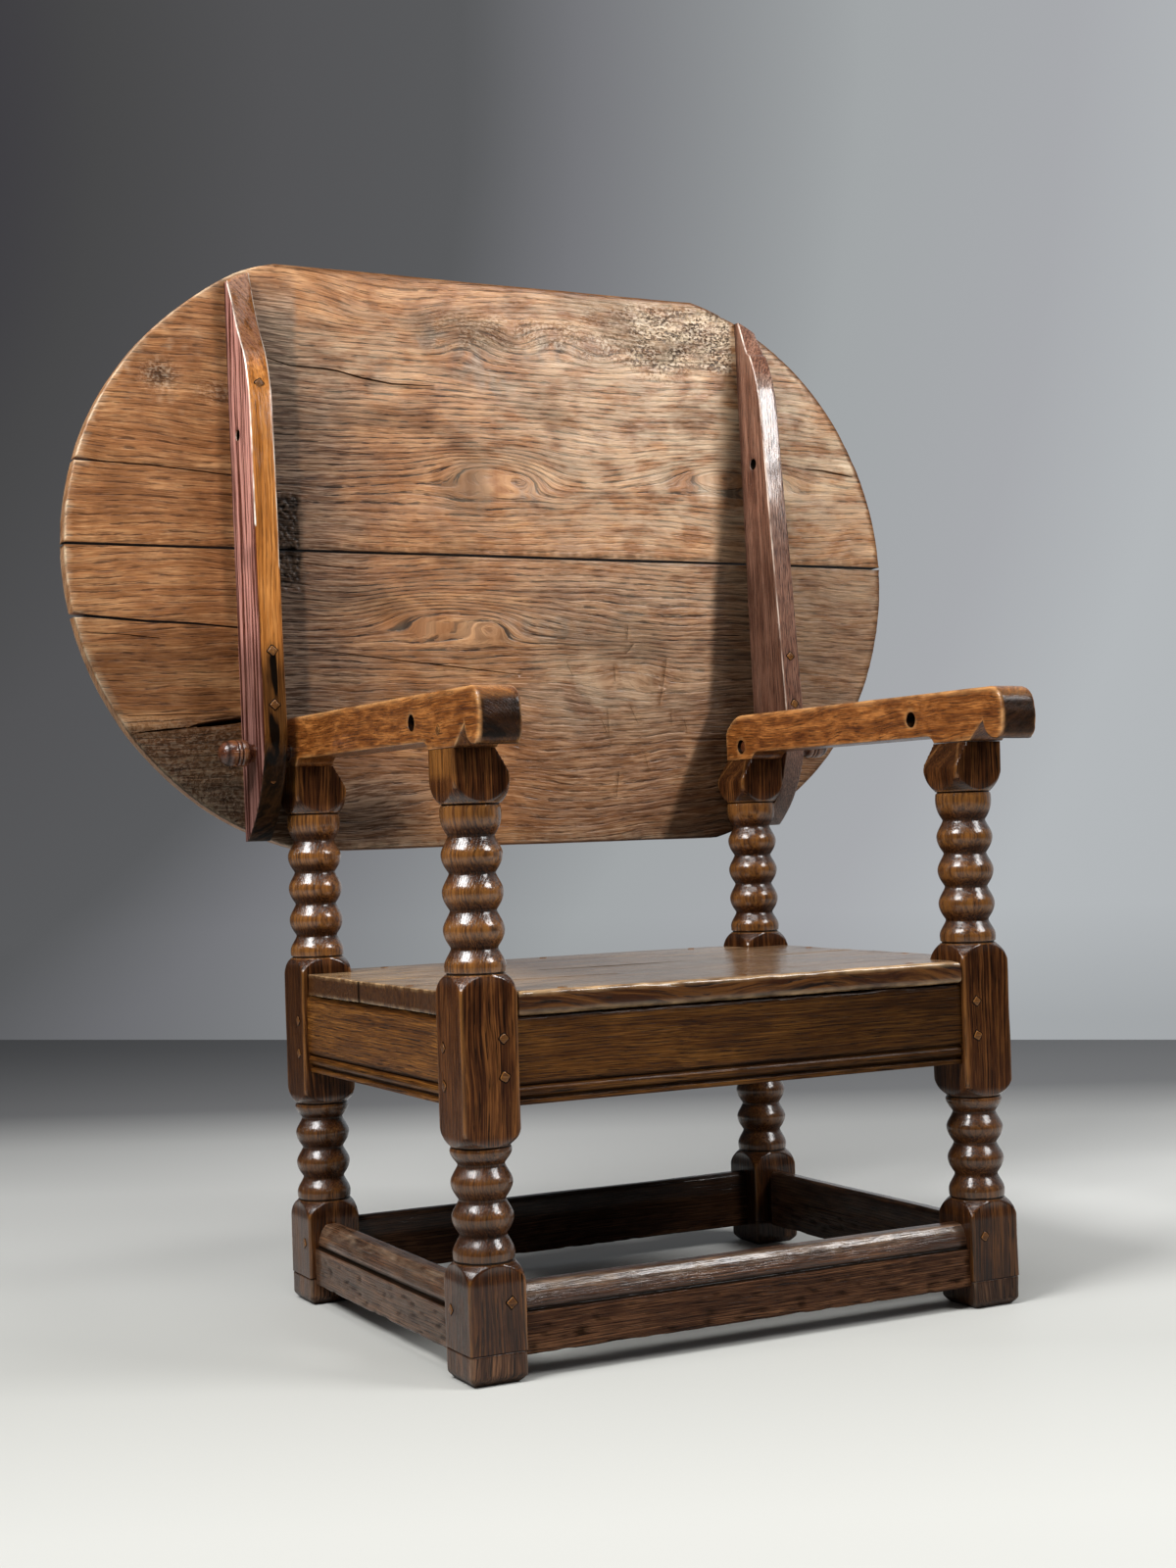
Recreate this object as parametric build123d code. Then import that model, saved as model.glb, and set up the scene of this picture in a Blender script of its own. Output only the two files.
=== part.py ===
from build123d import *
import math
import os

# An oak chair table: an armchair whose back is a table top, hung on two pins through the arms.
# The chair faces -Y, +X is on the right of someone who looks at its front, +Z is up. Millimetres.
# The origin is on the floor, under the middle of the whole object in the chair pose.

# ---- driving dimensions ----

# Under-frame
frame_width = 721.0  # over the outer faces of the posts
frame_depth = 561.0
post_side = 67.5
frame_offset_x = 15.5  # the top hangs a little to one side of the frame
frame_offset_y = 9.8

# Post heights, from the floor up
foot_joint = 34.0
foot_block_top = 113.5
lower_turning = (127.0, 252.0)
middle_block = (267.5, 422.0)
upper_turning = (433.5, 618.0)
top_block_bottom = 646.0
shoulder_height = 676.5  # the arms rest here

# Turned bobbins
bobbin_radius = 33.6
neck_radius = 26.0
neck_slope = 0.5  # how steeply a bobbin leaves its neck, against the height
lower_necks = (156.0, 193.4, 230.8)
upper_necks = (462.0, 502.2, 542.4, 582.5)

# Rails under the seat
rail_top = 388.0
rail_bottom = 292.0
rail_thickness = 27.0
rail_setback = 6.0
moulding_top = 316.5

# Low stretchers
stretcher_top = 101.0
stretcher_bottom = 26.0
stretcher_thickness = 36.0
stretcher_step = 72.0

# Joinery
tenon_thickness = 10.0
tenon_gap = 1.5  # space at the bottom of each mortise
peg_side = 8.5
peg_clearance = 0.1
peg_from_shoulder = 18.0
peg_proud = 0.6
peg_depth = 44.0
side_peg_drop = 10.0  # the side pegs sit below the front ones, clear of them
arm_peg_height = 697.0
arm_peg_forward = 4.0  # of the post's axis
post_tenon_height = 45.0
post_tenon_width = 42.0  # along the arm
post_tenon_thickness = 20.0
foot_tenon_side = 22.0
foot_tenon_height = 15.0
foot_bevel = 7.0

# What the seat rails and the low stretchers share: the setback of the outer face from the posts,
# and the heights of the tenons and of the pegs through them.
seat_rail = {
    "thickness": rail_thickness,
    "setback": rail_setback,
    "tenon": 40.0,
    "tenon_z": (306.0, 380.0),
    "peg_z": (325.0, 366.0),
}
stretcher = {
    "thickness": stretcher_thickness,
    "setback": 7.0,
    "tenon": 34.0,
    "tenon_z": (53.0, 94.0),
    "peg_z": (86.0,),
}

# Seat
seat_thickness = 27.0
seat_joint_y = 38.0
seat_end_x = frame_width / 2 - 8.0

# Arms
arm_width = 51.0
arm_top = 739.7
arm_nose = 352.0  # forward of the middle of the frame
arm_hollow = 9.0  # how far the underside is hollowed between the posts
head_slope_height = 28.0  # of the slope at the head of each post, down from the arm

# Table top
top_length = 1219.0
top_width = 771.5
top_end_radius = 397.0
top_thickness = 25.0
top_edge_ease = 3.0
board_gap = 2.5
board_split = 268.0  # above the pivot
top_below_pivot = 125.0

# Pivots and locks
lean = 2.0  # degrees, in the chair pose
pivot_height = 695.0
underside_offset = 45.0  # from the pivot to the underside of the top
stop_gap = 0.3  # where the top rests on the rear posts
bore_radius = 9.0
pin_clearance = 0.3
knob_radius = 17.0
knob_length = 37.0
lock_radius = 9.0
lock_reach = 408.0  # from the pivot, along the top
lock_drop = 31.0  # from the underside of the top

# Battens
batten_width = 38.0
batten_gap = 2.0  # between the batten and the arm
batten_chamfer = 3.5
batten_heel = -110.0  # heights are above the pivot

# ---- worked out ----

half_width = frame_width / 2
half_depth = frame_depth / 2
post_x = half_width - post_side / 2
post_y = half_depth - post_side / 2
inner_x = half_width - post_side
inner_y = half_depth - post_side
block_radius = post_side / math.sqrt(2) + 0.3

lean_sine = math.sin(math.radians(lean))
lean_cosine = math.cos(math.radians(lean))
# The foot of the leaning top just clears the rear posts' back faces.
foot_offset = (underside_offset - top_below_pivot * lean_sine) / lean_cosine
pivot_y = half_depth + stop_gap - foot_offset
underside_y = pivot_y + underside_offset

lock_y = pivot_y - lock_reach
lock_z = pivot_height + underside_offset - lock_drop
batten_inner_x = half_width + batten_gap
batten_outer_x = batten_inner_x + batten_width

nodes = {}
to_origin = Location((frame_offset_x, frame_offset_y, 0))
to_lean = (
    Location((0, pivot_y, pivot_height))
    * Rotation(-lean, 0, 0)
    * Location((0, -pivot_y, -pivot_height))
)


def add(name, shape):
    nodes[name] = to_origin * shape


def box_between(x_range, y_range, z_range):
    corners = [sorted(span) for span in (x_range, y_range, z_range)]
    sizes = [high - low for low, high in corners]
    middles = [(high + low) / 2 for low, high in corners]
    return Location(middles) * Box(*sizes)


def rod(radius, start, end):
    # A round rod between two points.
    start, end = Vector(*start), Vector(*end)
    axis = end - start
    place = Plane(origin=start, z_dir=axis)
    return extrude(place * Circle(radius), axis.length)


def peg(side, start, end):
    # A riven square peg between two points.
    start, end = Vector(*start), Vector(*end)
    axis = end - start
    place = Plane(origin=start, z_dir=axis)
    return extrude(place * Rectangle(side, side), axis.length)


def extrude_x(outline, x_low, x_high):
    # An outline drawn in the YZ plane, carried from one X to another.
    face = Plane.YZ.offset(x_low) * outline
    return extrude(face, x_high - x_low)


def mirrored_x(shape):
    return mirror(shape, Plane.YZ)


def mirrored_y(shape):
    return mirror(shape, Plane.XZ)


# ---- posts ----


def bobbin_edges(necks):
    edges = []
    for low, high in zip(necks, necks[1:]):
        spots = (neck_radius, low), (bobbin_radius, (low + high) / 2), (neck_radius, high)
        edges.append(Spline(*spots, tangents=((neck_slope, 1), (-neck_slope, 1))))
    return edges


def half_bobbin(block_end, neck):
    # A bobbin cut short where it runs into a square block.
    rise = 1 if neck > block_end else -1
    crest = neck - rise * 0.62 * abs(neck - block_end)
    spots = (bobbin_radius - 0.6, block_end), (bobbin_radius, crest), (neck_radius, neck)
    return Spline(*spots, tangents=((0.05, rise), (-neck_slope, rise)))


def pommel(turning_end, block_end):
    # The rounded shoulder that the gouge leaves on the corners of a block.
    start = (bobbin_radius - 0.6, turning_end)
    pull = (bobbin_radius + 0.75 * (block_radius - bobbin_radius), turning_end)
    return Bezier(start, pull, (block_radius, block_end))


def turned_outline():
    low, high = foot_joint, shoulder_height
    edges = [
        Line((0, low), (block_radius, low)),
        Line((block_radius, low), (block_radius, foot_block_top)),
        pommel(lower_turning[0], foot_block_top),
        half_bobbin(lower_turning[0], lower_necks[0]),
        *bobbin_edges(lower_necks),
        half_bobbin(lower_turning[1], lower_necks[-1]),
        pommel(lower_turning[1], middle_block[0]),
        Line((block_radius, middle_block[0]), (block_radius, middle_block[1])),
        pommel(upper_turning[0], middle_block[1]),
        half_bobbin(upper_turning[0], upper_necks[0]),
        *bobbin_edges(upper_necks),
        half_bobbin(upper_turning[1], upper_necks[-1]),
        pommel(upper_turning[1], top_block_bottom),
        Line((block_radius, top_block_bottom), (block_radius, high)),
        Line((block_radius, high), (0, high)),
        Line((0, high), (0, low)),
    ]
    return make_face(edges)


def post_body():
    # The front left post, about its own axis: a square blank, turned between its blocks.
    blank = box_between(
        (-post_side / 2, post_side / 2), (-post_side / 2, post_side / 2), (foot_joint, shoulder_height)
    )
    turned = revolve(Plane.XZ * turned_outline(), Axis.Z)
    return blank & turned


def arm_tenon():
    # The tenon at the head of the front left post, in the middle of the arm's width.
    x = -half_width + arm_width / 2
    return box_between(
        (x - post_tenon_thickness / 2, x + post_tenon_thickness / 2),
        (-post_y - post_tenon_width / 2, -post_y + post_tenon_width / 2),
        (shoulder_height, shoulder_height + post_tenon_height),
    )


def foot_tenon(gap=0.0):
    top = foot_joint + foot_tenon_height + gap
    return peg(foot_tenon_side, (-post_x, -post_y, foot_joint), (-post_x, -post_y, top))


def rail_tenon(rail, gap=0.0):
    # The two tenons at the ends of a front rail or stretcher.
    low, high = rail["tenon_z"]
    y = -half_depth + rail["setback"] + rail["thickness"] / 2
    y_range = (y - tenon_thickness / 2, y + tenon_thickness / 2)
    reach = inner_x + rail["tenon"] + gap
    return box_between((-reach, reach), y_range, (low, high))


def side_tenon(rail, gap=0.0):
    # The two tenons at the ends of a left rail or stretcher.
    low, high = rail["tenon_z"]
    x = -half_width + rail["setback"] + rail["thickness"] / 2
    x_range = (x - tenon_thickness / 2, x + tenon_thickness / 2)
    reach = inner_y + rail["tenon"] + gap
    return box_between(x_range, (-reach, reach), (low, high))


def front_pegs(rail, side):
    # Pegs through the front left post's front face.
    x = -inner_x - peg_from_shoulder
    y = -half_depth - peg_proud
    return [peg(side, (x, y, z), (x, y + peg_depth, z)) for z in rail["peg_z"]]


def side_pegs(rail, side):
    # Pegs through the front left post's outer side, clear of the front pegs.
    x = -half_width - peg_proud
    y = -inner_y - peg_from_shoulder
    heights = [z - side_peg_drop for z in rail["peg_z"]]
    return [peg(side, (x, y, z), (x + peg_depth, y, z)) for z in heights]


def arm_peg(side):
    # A peg through the left arm and the front post's tenon.
    y = -post_y + arm_peg_forward
    x = -half_width - peg_proud
    return peg(side, (x, y, arm_peg_height), (x + arm_width - 5.0, y, arm_peg_height))


def corner_post():
    # The front left post, before the holes for what crosses its head.
    post = Location((-post_x, -post_y, 0)) * post_body()
    post += arm_tenon()
    # The head is sloped back on its inner side, to the width of the arm.
    arm_edge = -half_width + arm_width
    slope_foot = shoulder_height - head_slope_height
    slope = Polyline(
        (arm_edge, shoulder_height),
        (-inner_x, slope_foot),
        (-inner_x + 1, slope_foot),
        (-inner_x + 1, shoulder_height),
        close=True,
    )
    post -= extrude(Plane.XZ * make_face(slope), half_depth)
    for rail in (seat_rail, stretcher):
        post -= rail_tenon(rail, tenon_gap)
        post -= side_tenon(rail, tenon_gap)
        for hole in front_pegs(rail, peg_side) + side_pegs(rail, peg_side):
            post -= hole
    return post - foot_tenon(tenon_gap)


def foot_tip():
    # A spliced tip with a worn, bevelled foot and a stub tenon up into the post.
    block = box_between((-half_width, -inner_x), (-half_depth, -inner_y), (0, foot_joint))
    block = chamfer(block.faces().sort_by(Axis.Z)[0].edges(), foot_bevel)
    return block + foot_tenon()


def pivot_bore(x_start, x_end):
    return rod(bore_radius, (x_start, pivot_y, pivot_height), (x_end, pivot_y, pivot_height))


def build_posts():
    # The pivot pins pass through the heads of the rear posts, and pegs through those of the front posts.
    post = corner_post()
    front_post = post - arm_peg(peg_side)
    rear_post = mirrored_y(post) - pivot_bore(-half_width - 1, -inner_x)
    tip = foot_tip()
    add("post_front_left", front_post)
    add("post_front_right", mirrored_x(front_post))
    add("post_rear_left", rear_post)
    add("post_rear_right", mirrored_x(rear_post))
    add("foot_tip_front_left", tip)
    add("foot_tip_front_right", mirrored_x(tip))
    add("foot_tip_rear_left", mirrored_y(tip))
    add("foot_tip_rear_right", mirrored_x(mirrored_y(tip)))


# ---- arms ----


def arm_outline():
    # Seen from the side, from the rear top round to the front and back along the underside.
    swing = arm_top - pivot_height
    back = half_depth
    back_top = pivot_height + math.sqrt(swing**2 - (back - pivot_y) ** 2)
    half_turn = math.radians(22)
    swing_middle = (pivot_y + swing * math.sin(half_turn), pivot_height + swing * math.cos(half_turn))
    nose_top, nose_face, lobe = -322.0, 1.5 - arm_nose, -336.0
    notch_back, notch_tip = (-285.0, shoulder_height), (-312.0, 699.0)
    hollow_run, hollow_bend = 16.0, 5.0
    hollow_z = shoulder_height + arm_hollow
    front_hollow, rear_hollow = -inner_y + hollow_run, inner_y - hollow_run
    front_bend = (-inner_y + hollow_bend, hollow_z - 3.0)
    rear_bend = (inner_y - hollow_bend, hollow_z - 3.0)
    edges = [
        ThreePointArc((back, back_top), swing_middle, (pivot_y, arm_top)),
        Line((pivot_y, arm_top), (nose_top, arm_top)),
        ThreePointArc((nose_top, arm_top), (nose_face + 8.0, arm_top - 6.5), (nose_face, 716.0)),
        ThreePointArc((nose_face, 716.0), (-arm_nose, 704.0), (nose_face, 692.0)),
        ThreePointArc((nose_face, 692.0), (nose_face + 4.5, 681.0), (lobe, 677.0)),
        ThreePointArc((lobe, 677.0), (-322.0, 681.5), notch_tip),
        Line(notch_tip, notch_back),
        Line(notch_back, (-inner_y, shoulder_height)),
        ThreePointArc((-inner_y, shoulder_height), front_bend, (front_hollow, hollow_z)),
        Line((front_hollow, hollow_z), (rear_hollow, hollow_z)),
        ThreePointArc((rear_hollow, hollow_z), rear_bend, (inner_y, shoulder_height)),
        Line((inner_y, shoulder_height), (back, shoulder_height)),
        Line((back, shoulder_height), (back, back_top)),
    ]
    return make_face(edges)


def build_arms():
    outer = -half_width
    inner = outer + arm_width
    arm = extrude_x(arm_outline(), outer, inner)
    arm -= arm_tenon()
    arm -= mirrored_y(arm_tenon())
    arm -= arm_peg(peg_side)
    arm -= pivot_bore(outer - 1, inner + 1)
    arm -= rod(lock_radius, (outer - 1, lock_y, lock_z), (inner + 1, lock_y, lock_z))
    add("arm_left", arm)
    add("arm_right", mirrored_x(arm))
    left_peg = arm_peg(peg_side - peg_clearance)
    add("arm_pegs", Compound([left_peg, mirrored_x(left_peg)]))


# ---- rails and stretchers ----
# Sections are drawn with the outer face at zero, outwards negative, against height.


def rail_section():
    inner = rail_thickness
    edges = [
        Line((0, rail_top), (0, moulding_top)),
        Line((0, moulding_top), (4.5, moulding_top)),
        Line((4.5, moulding_top), (4.5, 313.0)),
        ThreePointArc((4.5, 313.0), (0.5, 306.5), (4.5, 300.0)),
        Line((4.5, 300.0), (6.5, 300.0)),
        Line((6.5, 300.0), (6.5, 297.5)),
        Line((6.5, 297.5), (2.5, 297.5)),
        Line((2.5, 297.5), (2.5, rail_bottom)),
        Line((2.5, rail_bottom), (inner, rail_bottom)),
        Line((inner, rail_bottom), (inner, rail_top)),
        Line((inner, rail_top), (0, rail_top)),
    ]
    return make_face(edges)


def stretcher_section():
    # A flat face up to a step, then a worn slope up to a rounded top.
    inner = stretcher_thickness
    step_in = 4.0
    worn = 5.0  # the rounding of the inner top edge
    worn_middle = (inner - worn * 0.3, stretcher_top - worn * 0.3)
    edges = [
        Line((0, stretcher_bottom), (0, stretcher_step)),
        Line((0, stretcher_step), (step_in, stretcher_step + 1.5)),
        ThreePointArc((step_in, stretcher_step + 1.5), (8.0, 91.0), (17.0, stretcher_top)),
        Line((17.0, stretcher_top), (inner - worn, stretcher_top)),
        ThreePointArc((inner - worn, stretcher_top), worn_middle, (inner, stretcher_top - worn)),
        Line((inner, stretcher_top - worn), (inner, stretcher_bottom)),
        Line((inner, stretcher_bottom), (0, stretcher_bottom)),
    ]
    return make_face(edges)


def front_member(section, rail):
    # A rail along X between the front posts.
    outer_y = -half_depth + rail["setback"]
    body = Location((0, outer_y, 0)) * extrude_x(section, -inner_x, inner_x)
    body += rail_tenon(rail)
    for hole in front_pegs(rail, peg_side):
        body -= hole
        body -= mirrored_x(hole)
    return body


def left_member(section, rail):
    # A rail along Y between the left posts.
    outer_x = -half_width + rail["setback"]
    along = extrude(Plane.XZ * section, inner_y, both=True)
    body = Location((outer_x, 0, 0)) * along
    body += side_tenon(rail)
    for hole in side_pegs(rail, peg_side):
        body -= hole
        body -= mirrored_y(hole)
    return body


def four_rails(kind, section, rail):
    front = front_member(section, rail)
    left = left_member(section, rail)
    add(kind + "_front", front)
    add(kind + "_rear", mirrored_y(front))
    add(kind + "_left", left)
    add(kind + "_right", mirrored_x(left))
    side = peg_side - peg_clearance
    corner = front_pegs(rail, side) + side_pegs(rail, side)
    left_pegs = corner + [mirrored_y(one) for one in corner]
    return Compound(left_pegs + [mirrored_x(one) for one in left_pegs])


def build_rails():
    add("rail_pegs", four_rails("seat_rail", rail_section(), seat_rail))
    add("stretcher_pegs", four_rails("stretcher", stretcher_section(), stretcher))


# ---- seat ----


def seat_peg_places():
    side_x = half_width - rail_setback - rail_thickness / 2
    end_y = half_depth - rail_setback - rail_thickness / 2
    across = [(x, y) for y in (-end_y, end_y) for x in (-230.0, 0.0, 230.0)]
    along = [(x, y) for x in (-side_x, side_x) for y in (-95.0, 130.0)]
    return across + along


def seat_pegs(side):
    low, high = rail_top - 26.0, rail_top + seat_thickness + 0.5
    return [peg(side, (x, y, low), (x, y, high)) for x, y in seat_peg_places()]


def build_seat():
    low, high = rail_top, rail_top + seat_thickness
    notch_gap = 1.5
    edge = half_depth - 1.0
    whole = box_between((-seat_end_x, seat_end_x), (-edge, edge), (low, high))
    for x_side in (-1, 1):
        for y_side in (-1, 1):
            whole -= box_between(
                (x_side * (inner_x - notch_gap), x_side * half_width),
                (y_side * (inner_y - notch_gap), y_side * half_depth),
                (low, high),
            )
    front_half = box_between((-half_width, half_width), (-half_depth, seat_joint_y - 0.5), (low, high))
    rear_half = box_between((-half_width, half_width), (seat_joint_y + 0.5, half_depth), (low, high))
    holes = seat_pegs(peg_side)
    for name, half in (("seat_board_front", front_half), ("seat_board_rear", rear_half)):
        board = whole & half
        for hole in holes:
            board -= hole
        long_edges = board.edges().filter_by(Axis.X).group_by(Axis.Z)[-1]
        outer_edges = [edge for edge in long_edges if abs(edge.center().Y) > inner_y]
        add(name, chamfer(outer_edges, 4.0))
    for name in ("seat_rail_front", "seat_rail_rear", "seat_rail_left", "seat_rail_right"):
        for hole in holes:
            nodes[name] -= to_origin * hole
    add("seat_pegs", Compound(seat_pegs(peg_side - peg_clearance)))


# ---- table top ----
# Drawn upright, with its underside flat to the sitter's back, then leaned back about the pivot.


def top_outline():
    # Straight long edges and round ends, about the middle of the top.
    x_end = top_length / 2
    z_edge = top_width / 2
    centre_x = x_end - top_end_radius
    tangent_x = centre_x + math.sqrt(top_end_radius**2 - z_edge**2)
    edges = [
        Line((-tangent_x, z_edge), (tangent_x, z_edge)),
        ThreePointArc((tangent_x, z_edge), (x_end, 0), (tangent_x, -z_edge)),
        Line((tangent_x, -z_edge), (-tangent_x, -z_edge)),
        ThreePointArc((-tangent_x, -z_edge), (-x_end, 0), (-tangent_x, z_edge)),
    ]
    return make_face(edges)


def batten_outline(heel, knee, tip):
    # Side view of a batten. Each of the three is (height above the pivot, depth), up from the heel.
    def spot(height, depth):
        return (underside_y - depth, pivot_height + height)

    heel_foot = 8.0
    edges = [
        Line(spot(batten_heel, 0), spot(batten_heel, heel_foot)),
        ThreePointArc(spot(batten_heel, heel_foot), spot(-62, 58), spot(*heel)),
        Line(spot(*heel), spot(*knee)),
        ThreePointArc(spot(*knee), spot((knee[0] + tip[0]) / 2, (knee[1] + tip[1]) / 2 - 3), spot(*tip)),
        Line(spot(*tip), spot(tip[0], 0)),
        Line(spot(tip[0], 0), spot(batten_heel, 0)),
    ]
    return make_face(edges)


# The pegs through each batten, as heights above the pivot.
batten_peg_heights = (-35.0, 57.0, 125.0, 235.0, 320.0, 465.0)
left_batten = {"heel": (22, 88), "knee": (470, 80), "tip": (622, 10)}
right_batten = {"heel": (22, 88), "knee": (525, 54), "tip": (613, 10)}


def make_batten(shape):
    batten = extrude_x(batten_outline(**shape), -batten_outer_x, -batten_inner_x)

    def is_front_edge(edge):
        # The chamfer on the front edges stops above the curved heel.
        middle = edge.center()
        runs_along = abs(edge.tangent_at(0.5).X) < 0.5
        return runs_along and middle.Y < underside_y - 20 and middle.Z > pivot_height

    batten = chamfer(batten.edges().filter_by(is_front_edge), batten_chamfer)
    across = (-batten_outer_x - 1, -batten_inner_x + 1)
    batten -= pivot_bore(*across)
    lock_place = (underside_y - lock_drop, pivot_height + lock_reach)
    batten -= rod(lock_radius, (across[0], *lock_place), (across[1], *lock_place))
    return batten


def batten_pegs(side):
    x = -(batten_inner_x + batten_outer_x) / 2
    front = underside_y - 100.0
    back = underside_y + top_thickness
    heights = [pivot_height + height for height in batten_peg_heights]
    return [peg(side, (x, front, z), (x, back, z)) for z in heights]


def build_top():
    middle = (-frame_offset_x, pivot_height - top_below_pivot + top_width / 2)
    flat = Location((middle[0], 0, middle[1])) * (Plane.XZ * top_outline())
    slab = extrude(Location((0, underside_y + top_thickness, 0)) * flat, top_thickness)
    slab = chamfer(slab.edges().filter_by(lambda e: abs(e.tangent_at(0.5).Y) < 0.5), top_edge_ease)
    split = pivot_height + board_split
    x_range = (-top_length, top_length)
    y_range = (underside_y - 1, underside_y + top_thickness + 1)
    lower = slab & box_between(x_range, y_range, (split - top_width, split - board_gap / 2))
    upper = slab & box_between(x_range, y_range, (split + board_gap / 2, split + top_width))
    holes = batten_pegs(peg_side)
    for hole in holes + [mirrored_x(hole) for hole in holes]:
        lower -= hole
        upper -= hole
    add("table_board_lower", to_lean * lower)
    add("table_board_upper", to_lean * upper)
    for side, shape in (("left", left_batten), ("right", right_batten)):
        batten = make_batten(shape)
        envelope = batten + box_between(
            (-batten_outer_x, -batten_inner_x), (underside_y, underside_y + top_thickness),
            (pivot_height - top_below_pivot, pivot_height + top_width),
        )
        for hole in holes:
            batten -= hole
        pegs = Compound([one & envelope for one in batten_pegs(peg_side - peg_clearance)])
        if side == "right":
            batten, pegs = mirrored_x(batten), mirrored_x(pegs)
        add("batten_" + side, to_lean * batten)
        add("batten_pegs_" + side, to_lean * pegs)


# ---- pivot pins ----


def pin_outline():
    # Half of the pin's long section: distance outwards along the pin against radius.
    tip = half_width - arm_width + 4.0
    collar = batten_outer_x + 1.5
    knob_start = collar + 13.0
    end = knob_start + knob_length
    shank = bore_radius - pin_clearance
    groove_radius = knob_radius - 1.8
    bead = (end - knob_start - 4.0) / 3
    edges = [
        Line((tip, 0), (tip, shank)),
        Line((tip, shank), (collar, shank)),
        Line((collar, shank), (collar, shank + 3.5)),
        Bezier((collar, shank + 3.5), (collar + 8.0, shank), (knob_start, groove_radius)),
    ]
    # Two beads, parted by grooves, and a domed end.
    start = knob_start
    for _ in range(2):
        crest = (start + bead / 2, knob_radius)
        edges.append(Spline((start, groove_radius), crest, (start + bead, groove_radius)))
        start += bead
    edges += [
        Bezier((start, groove_radius), (start + bead, knob_radius + 2.0), (end, 6.0)),
        Line((end, 6.0), (end, 0)),
        Line((end, 0), (tip, 0)),
    ]
    return make_face(edges)


def build_pins():
    turned = revolve(Plane.XY * pin_outline(), Axis.X)
    right = Location((0, pivot_y, pivot_height)) * turned
    add("pivot_pin_right", right)
    add("pivot_pin_left", mirrored_x(right))


build_posts()
build_arms()
build_rails()
build_seat()
build_top()
build_pins()

os.makedirs("parts", exist_ok=True)
for name, shape in nodes.items():
    export_step(shape, "parts/" + name + ".step")
    print(name, round(shape.volume / 1000), "cm3")

whole = Compound(list(nodes.values())).bounding_box()
print("box", whole.min, whole.max)
print("pivot y", round(pivot_y + frame_offset_y, 3))
print("lock hole", round(lock_y + frame_offset_y, 3), round(lock_z, 3))
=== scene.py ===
import bmesh
import bpy
import math
import numpy as np
import random
from mathutils import Matrix, Vector, kdtree, noise
from mathutils.geometry import delaunay_2d_cdt


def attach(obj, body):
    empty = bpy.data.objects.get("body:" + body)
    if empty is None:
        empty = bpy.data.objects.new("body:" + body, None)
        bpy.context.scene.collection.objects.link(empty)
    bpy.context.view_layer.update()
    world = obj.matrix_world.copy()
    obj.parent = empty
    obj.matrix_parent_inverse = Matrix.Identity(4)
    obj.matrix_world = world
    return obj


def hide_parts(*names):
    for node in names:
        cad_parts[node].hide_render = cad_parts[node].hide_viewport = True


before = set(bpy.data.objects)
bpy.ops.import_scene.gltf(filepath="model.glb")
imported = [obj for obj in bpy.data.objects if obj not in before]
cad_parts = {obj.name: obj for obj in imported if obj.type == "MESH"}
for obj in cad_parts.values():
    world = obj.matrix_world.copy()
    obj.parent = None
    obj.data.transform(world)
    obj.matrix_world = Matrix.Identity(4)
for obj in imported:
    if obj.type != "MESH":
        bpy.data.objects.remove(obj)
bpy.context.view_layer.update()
print("frame loaded,", len(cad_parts), "nodes")

# All shapes are worked out in millimetres and turned to metres when their mesh is made.
mm = 0.001
frameX, frameY = 15.5, 9.8  # middle of the four posts in the row frame
pivot = {"y": 249.938, "z": 695.0, "lean": math.radians(2.0)}


def hexColour(code):  # sRGB hex to linear
    channels = [int(code[i:i + 2], 16) / 255 for i in (1, 3, 5)]
    return [c / 12.92 if c <= 0.04045 else ((c + 0.055) / 1.055) ** 2.4 for c in channels] + [1]


def fade(low, high, value):  # 0 below low, 1 above high, smooth between
    t = min(1.0, max(0.0, (value - low) / (high - low)))
    return t * t * (3 - 2 * t)


def bumps(x, y, z):  # smooth noise, about -1 to 1
    return noise.noise(Vector((x, y, z)))


def softMin(a, b, blend):  # the smaller of two, rounded where they meet
    overlap = max(blend - abs(a - b), 0.0) / blend
    return min(a, b) - overlap * overlap * blend / 4


def arc(start, middle, end, count):  # points of a circular arc through three, without the last
    (ax, ay), (bx, by), (cx, cy) = start, middle, end
    d = 2 * (ax * (by - cy) + bx * (cy - ay) + cx * (ay - by))
    a2, b2, c2 = ax * ax + ay * ay, bx * bx + by * by, cx * cx + cy * cy
    ux = (a2 * (by - cy) + b2 * (cy - ay) + c2 * (ay - by)) / d
    uy = (a2 * (cx - bx) + b2 * (ax - cx) + c2 * (bx - ax)) / d
    radius = math.hypot(ax - ux, ay - uy)
    first, mid, last = (math.atan2(y - uy, x - ux) for x, y in (start, middle, end))
    turn = (last - first) % math.tau
    if (mid - first) % math.tau > turn:
        turn -= math.tau
    angles = [first + turn * k / count for k in range(count)]
    return [(ux + radius * math.cos(t), uy + radius * math.sin(t)) for t in angles]


def rounded(corners, radii, count=4):  # a polygon with its corners eased
    out = []
    for i, (corner, radius) in enumerate(zip(corners, radii)):
        if radius <= 0:
            out.append(corner)
            continue
        spot, before, after = (Vector(corners[k % len(corners)]) for k in (i, i - 1, i + 1))
        toBefore, toAfter = (before - spot).normalized(), (after - spot).normalized()
        half = toBefore.angle(toAfter) / 2
        reach = min(radius / math.tan(half), 0.48 * (before - spot).length, 0.48 * (after - spot).length)
        start, end = spot + toBefore * reach, spot + toAfter * reach
        for k in range(count + 1):
            t = k / count
            out.append(tuple(start * (1 - t) ** 2 + spot * 2 * t * (1 - t) + end * t * t))
    return out


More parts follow.
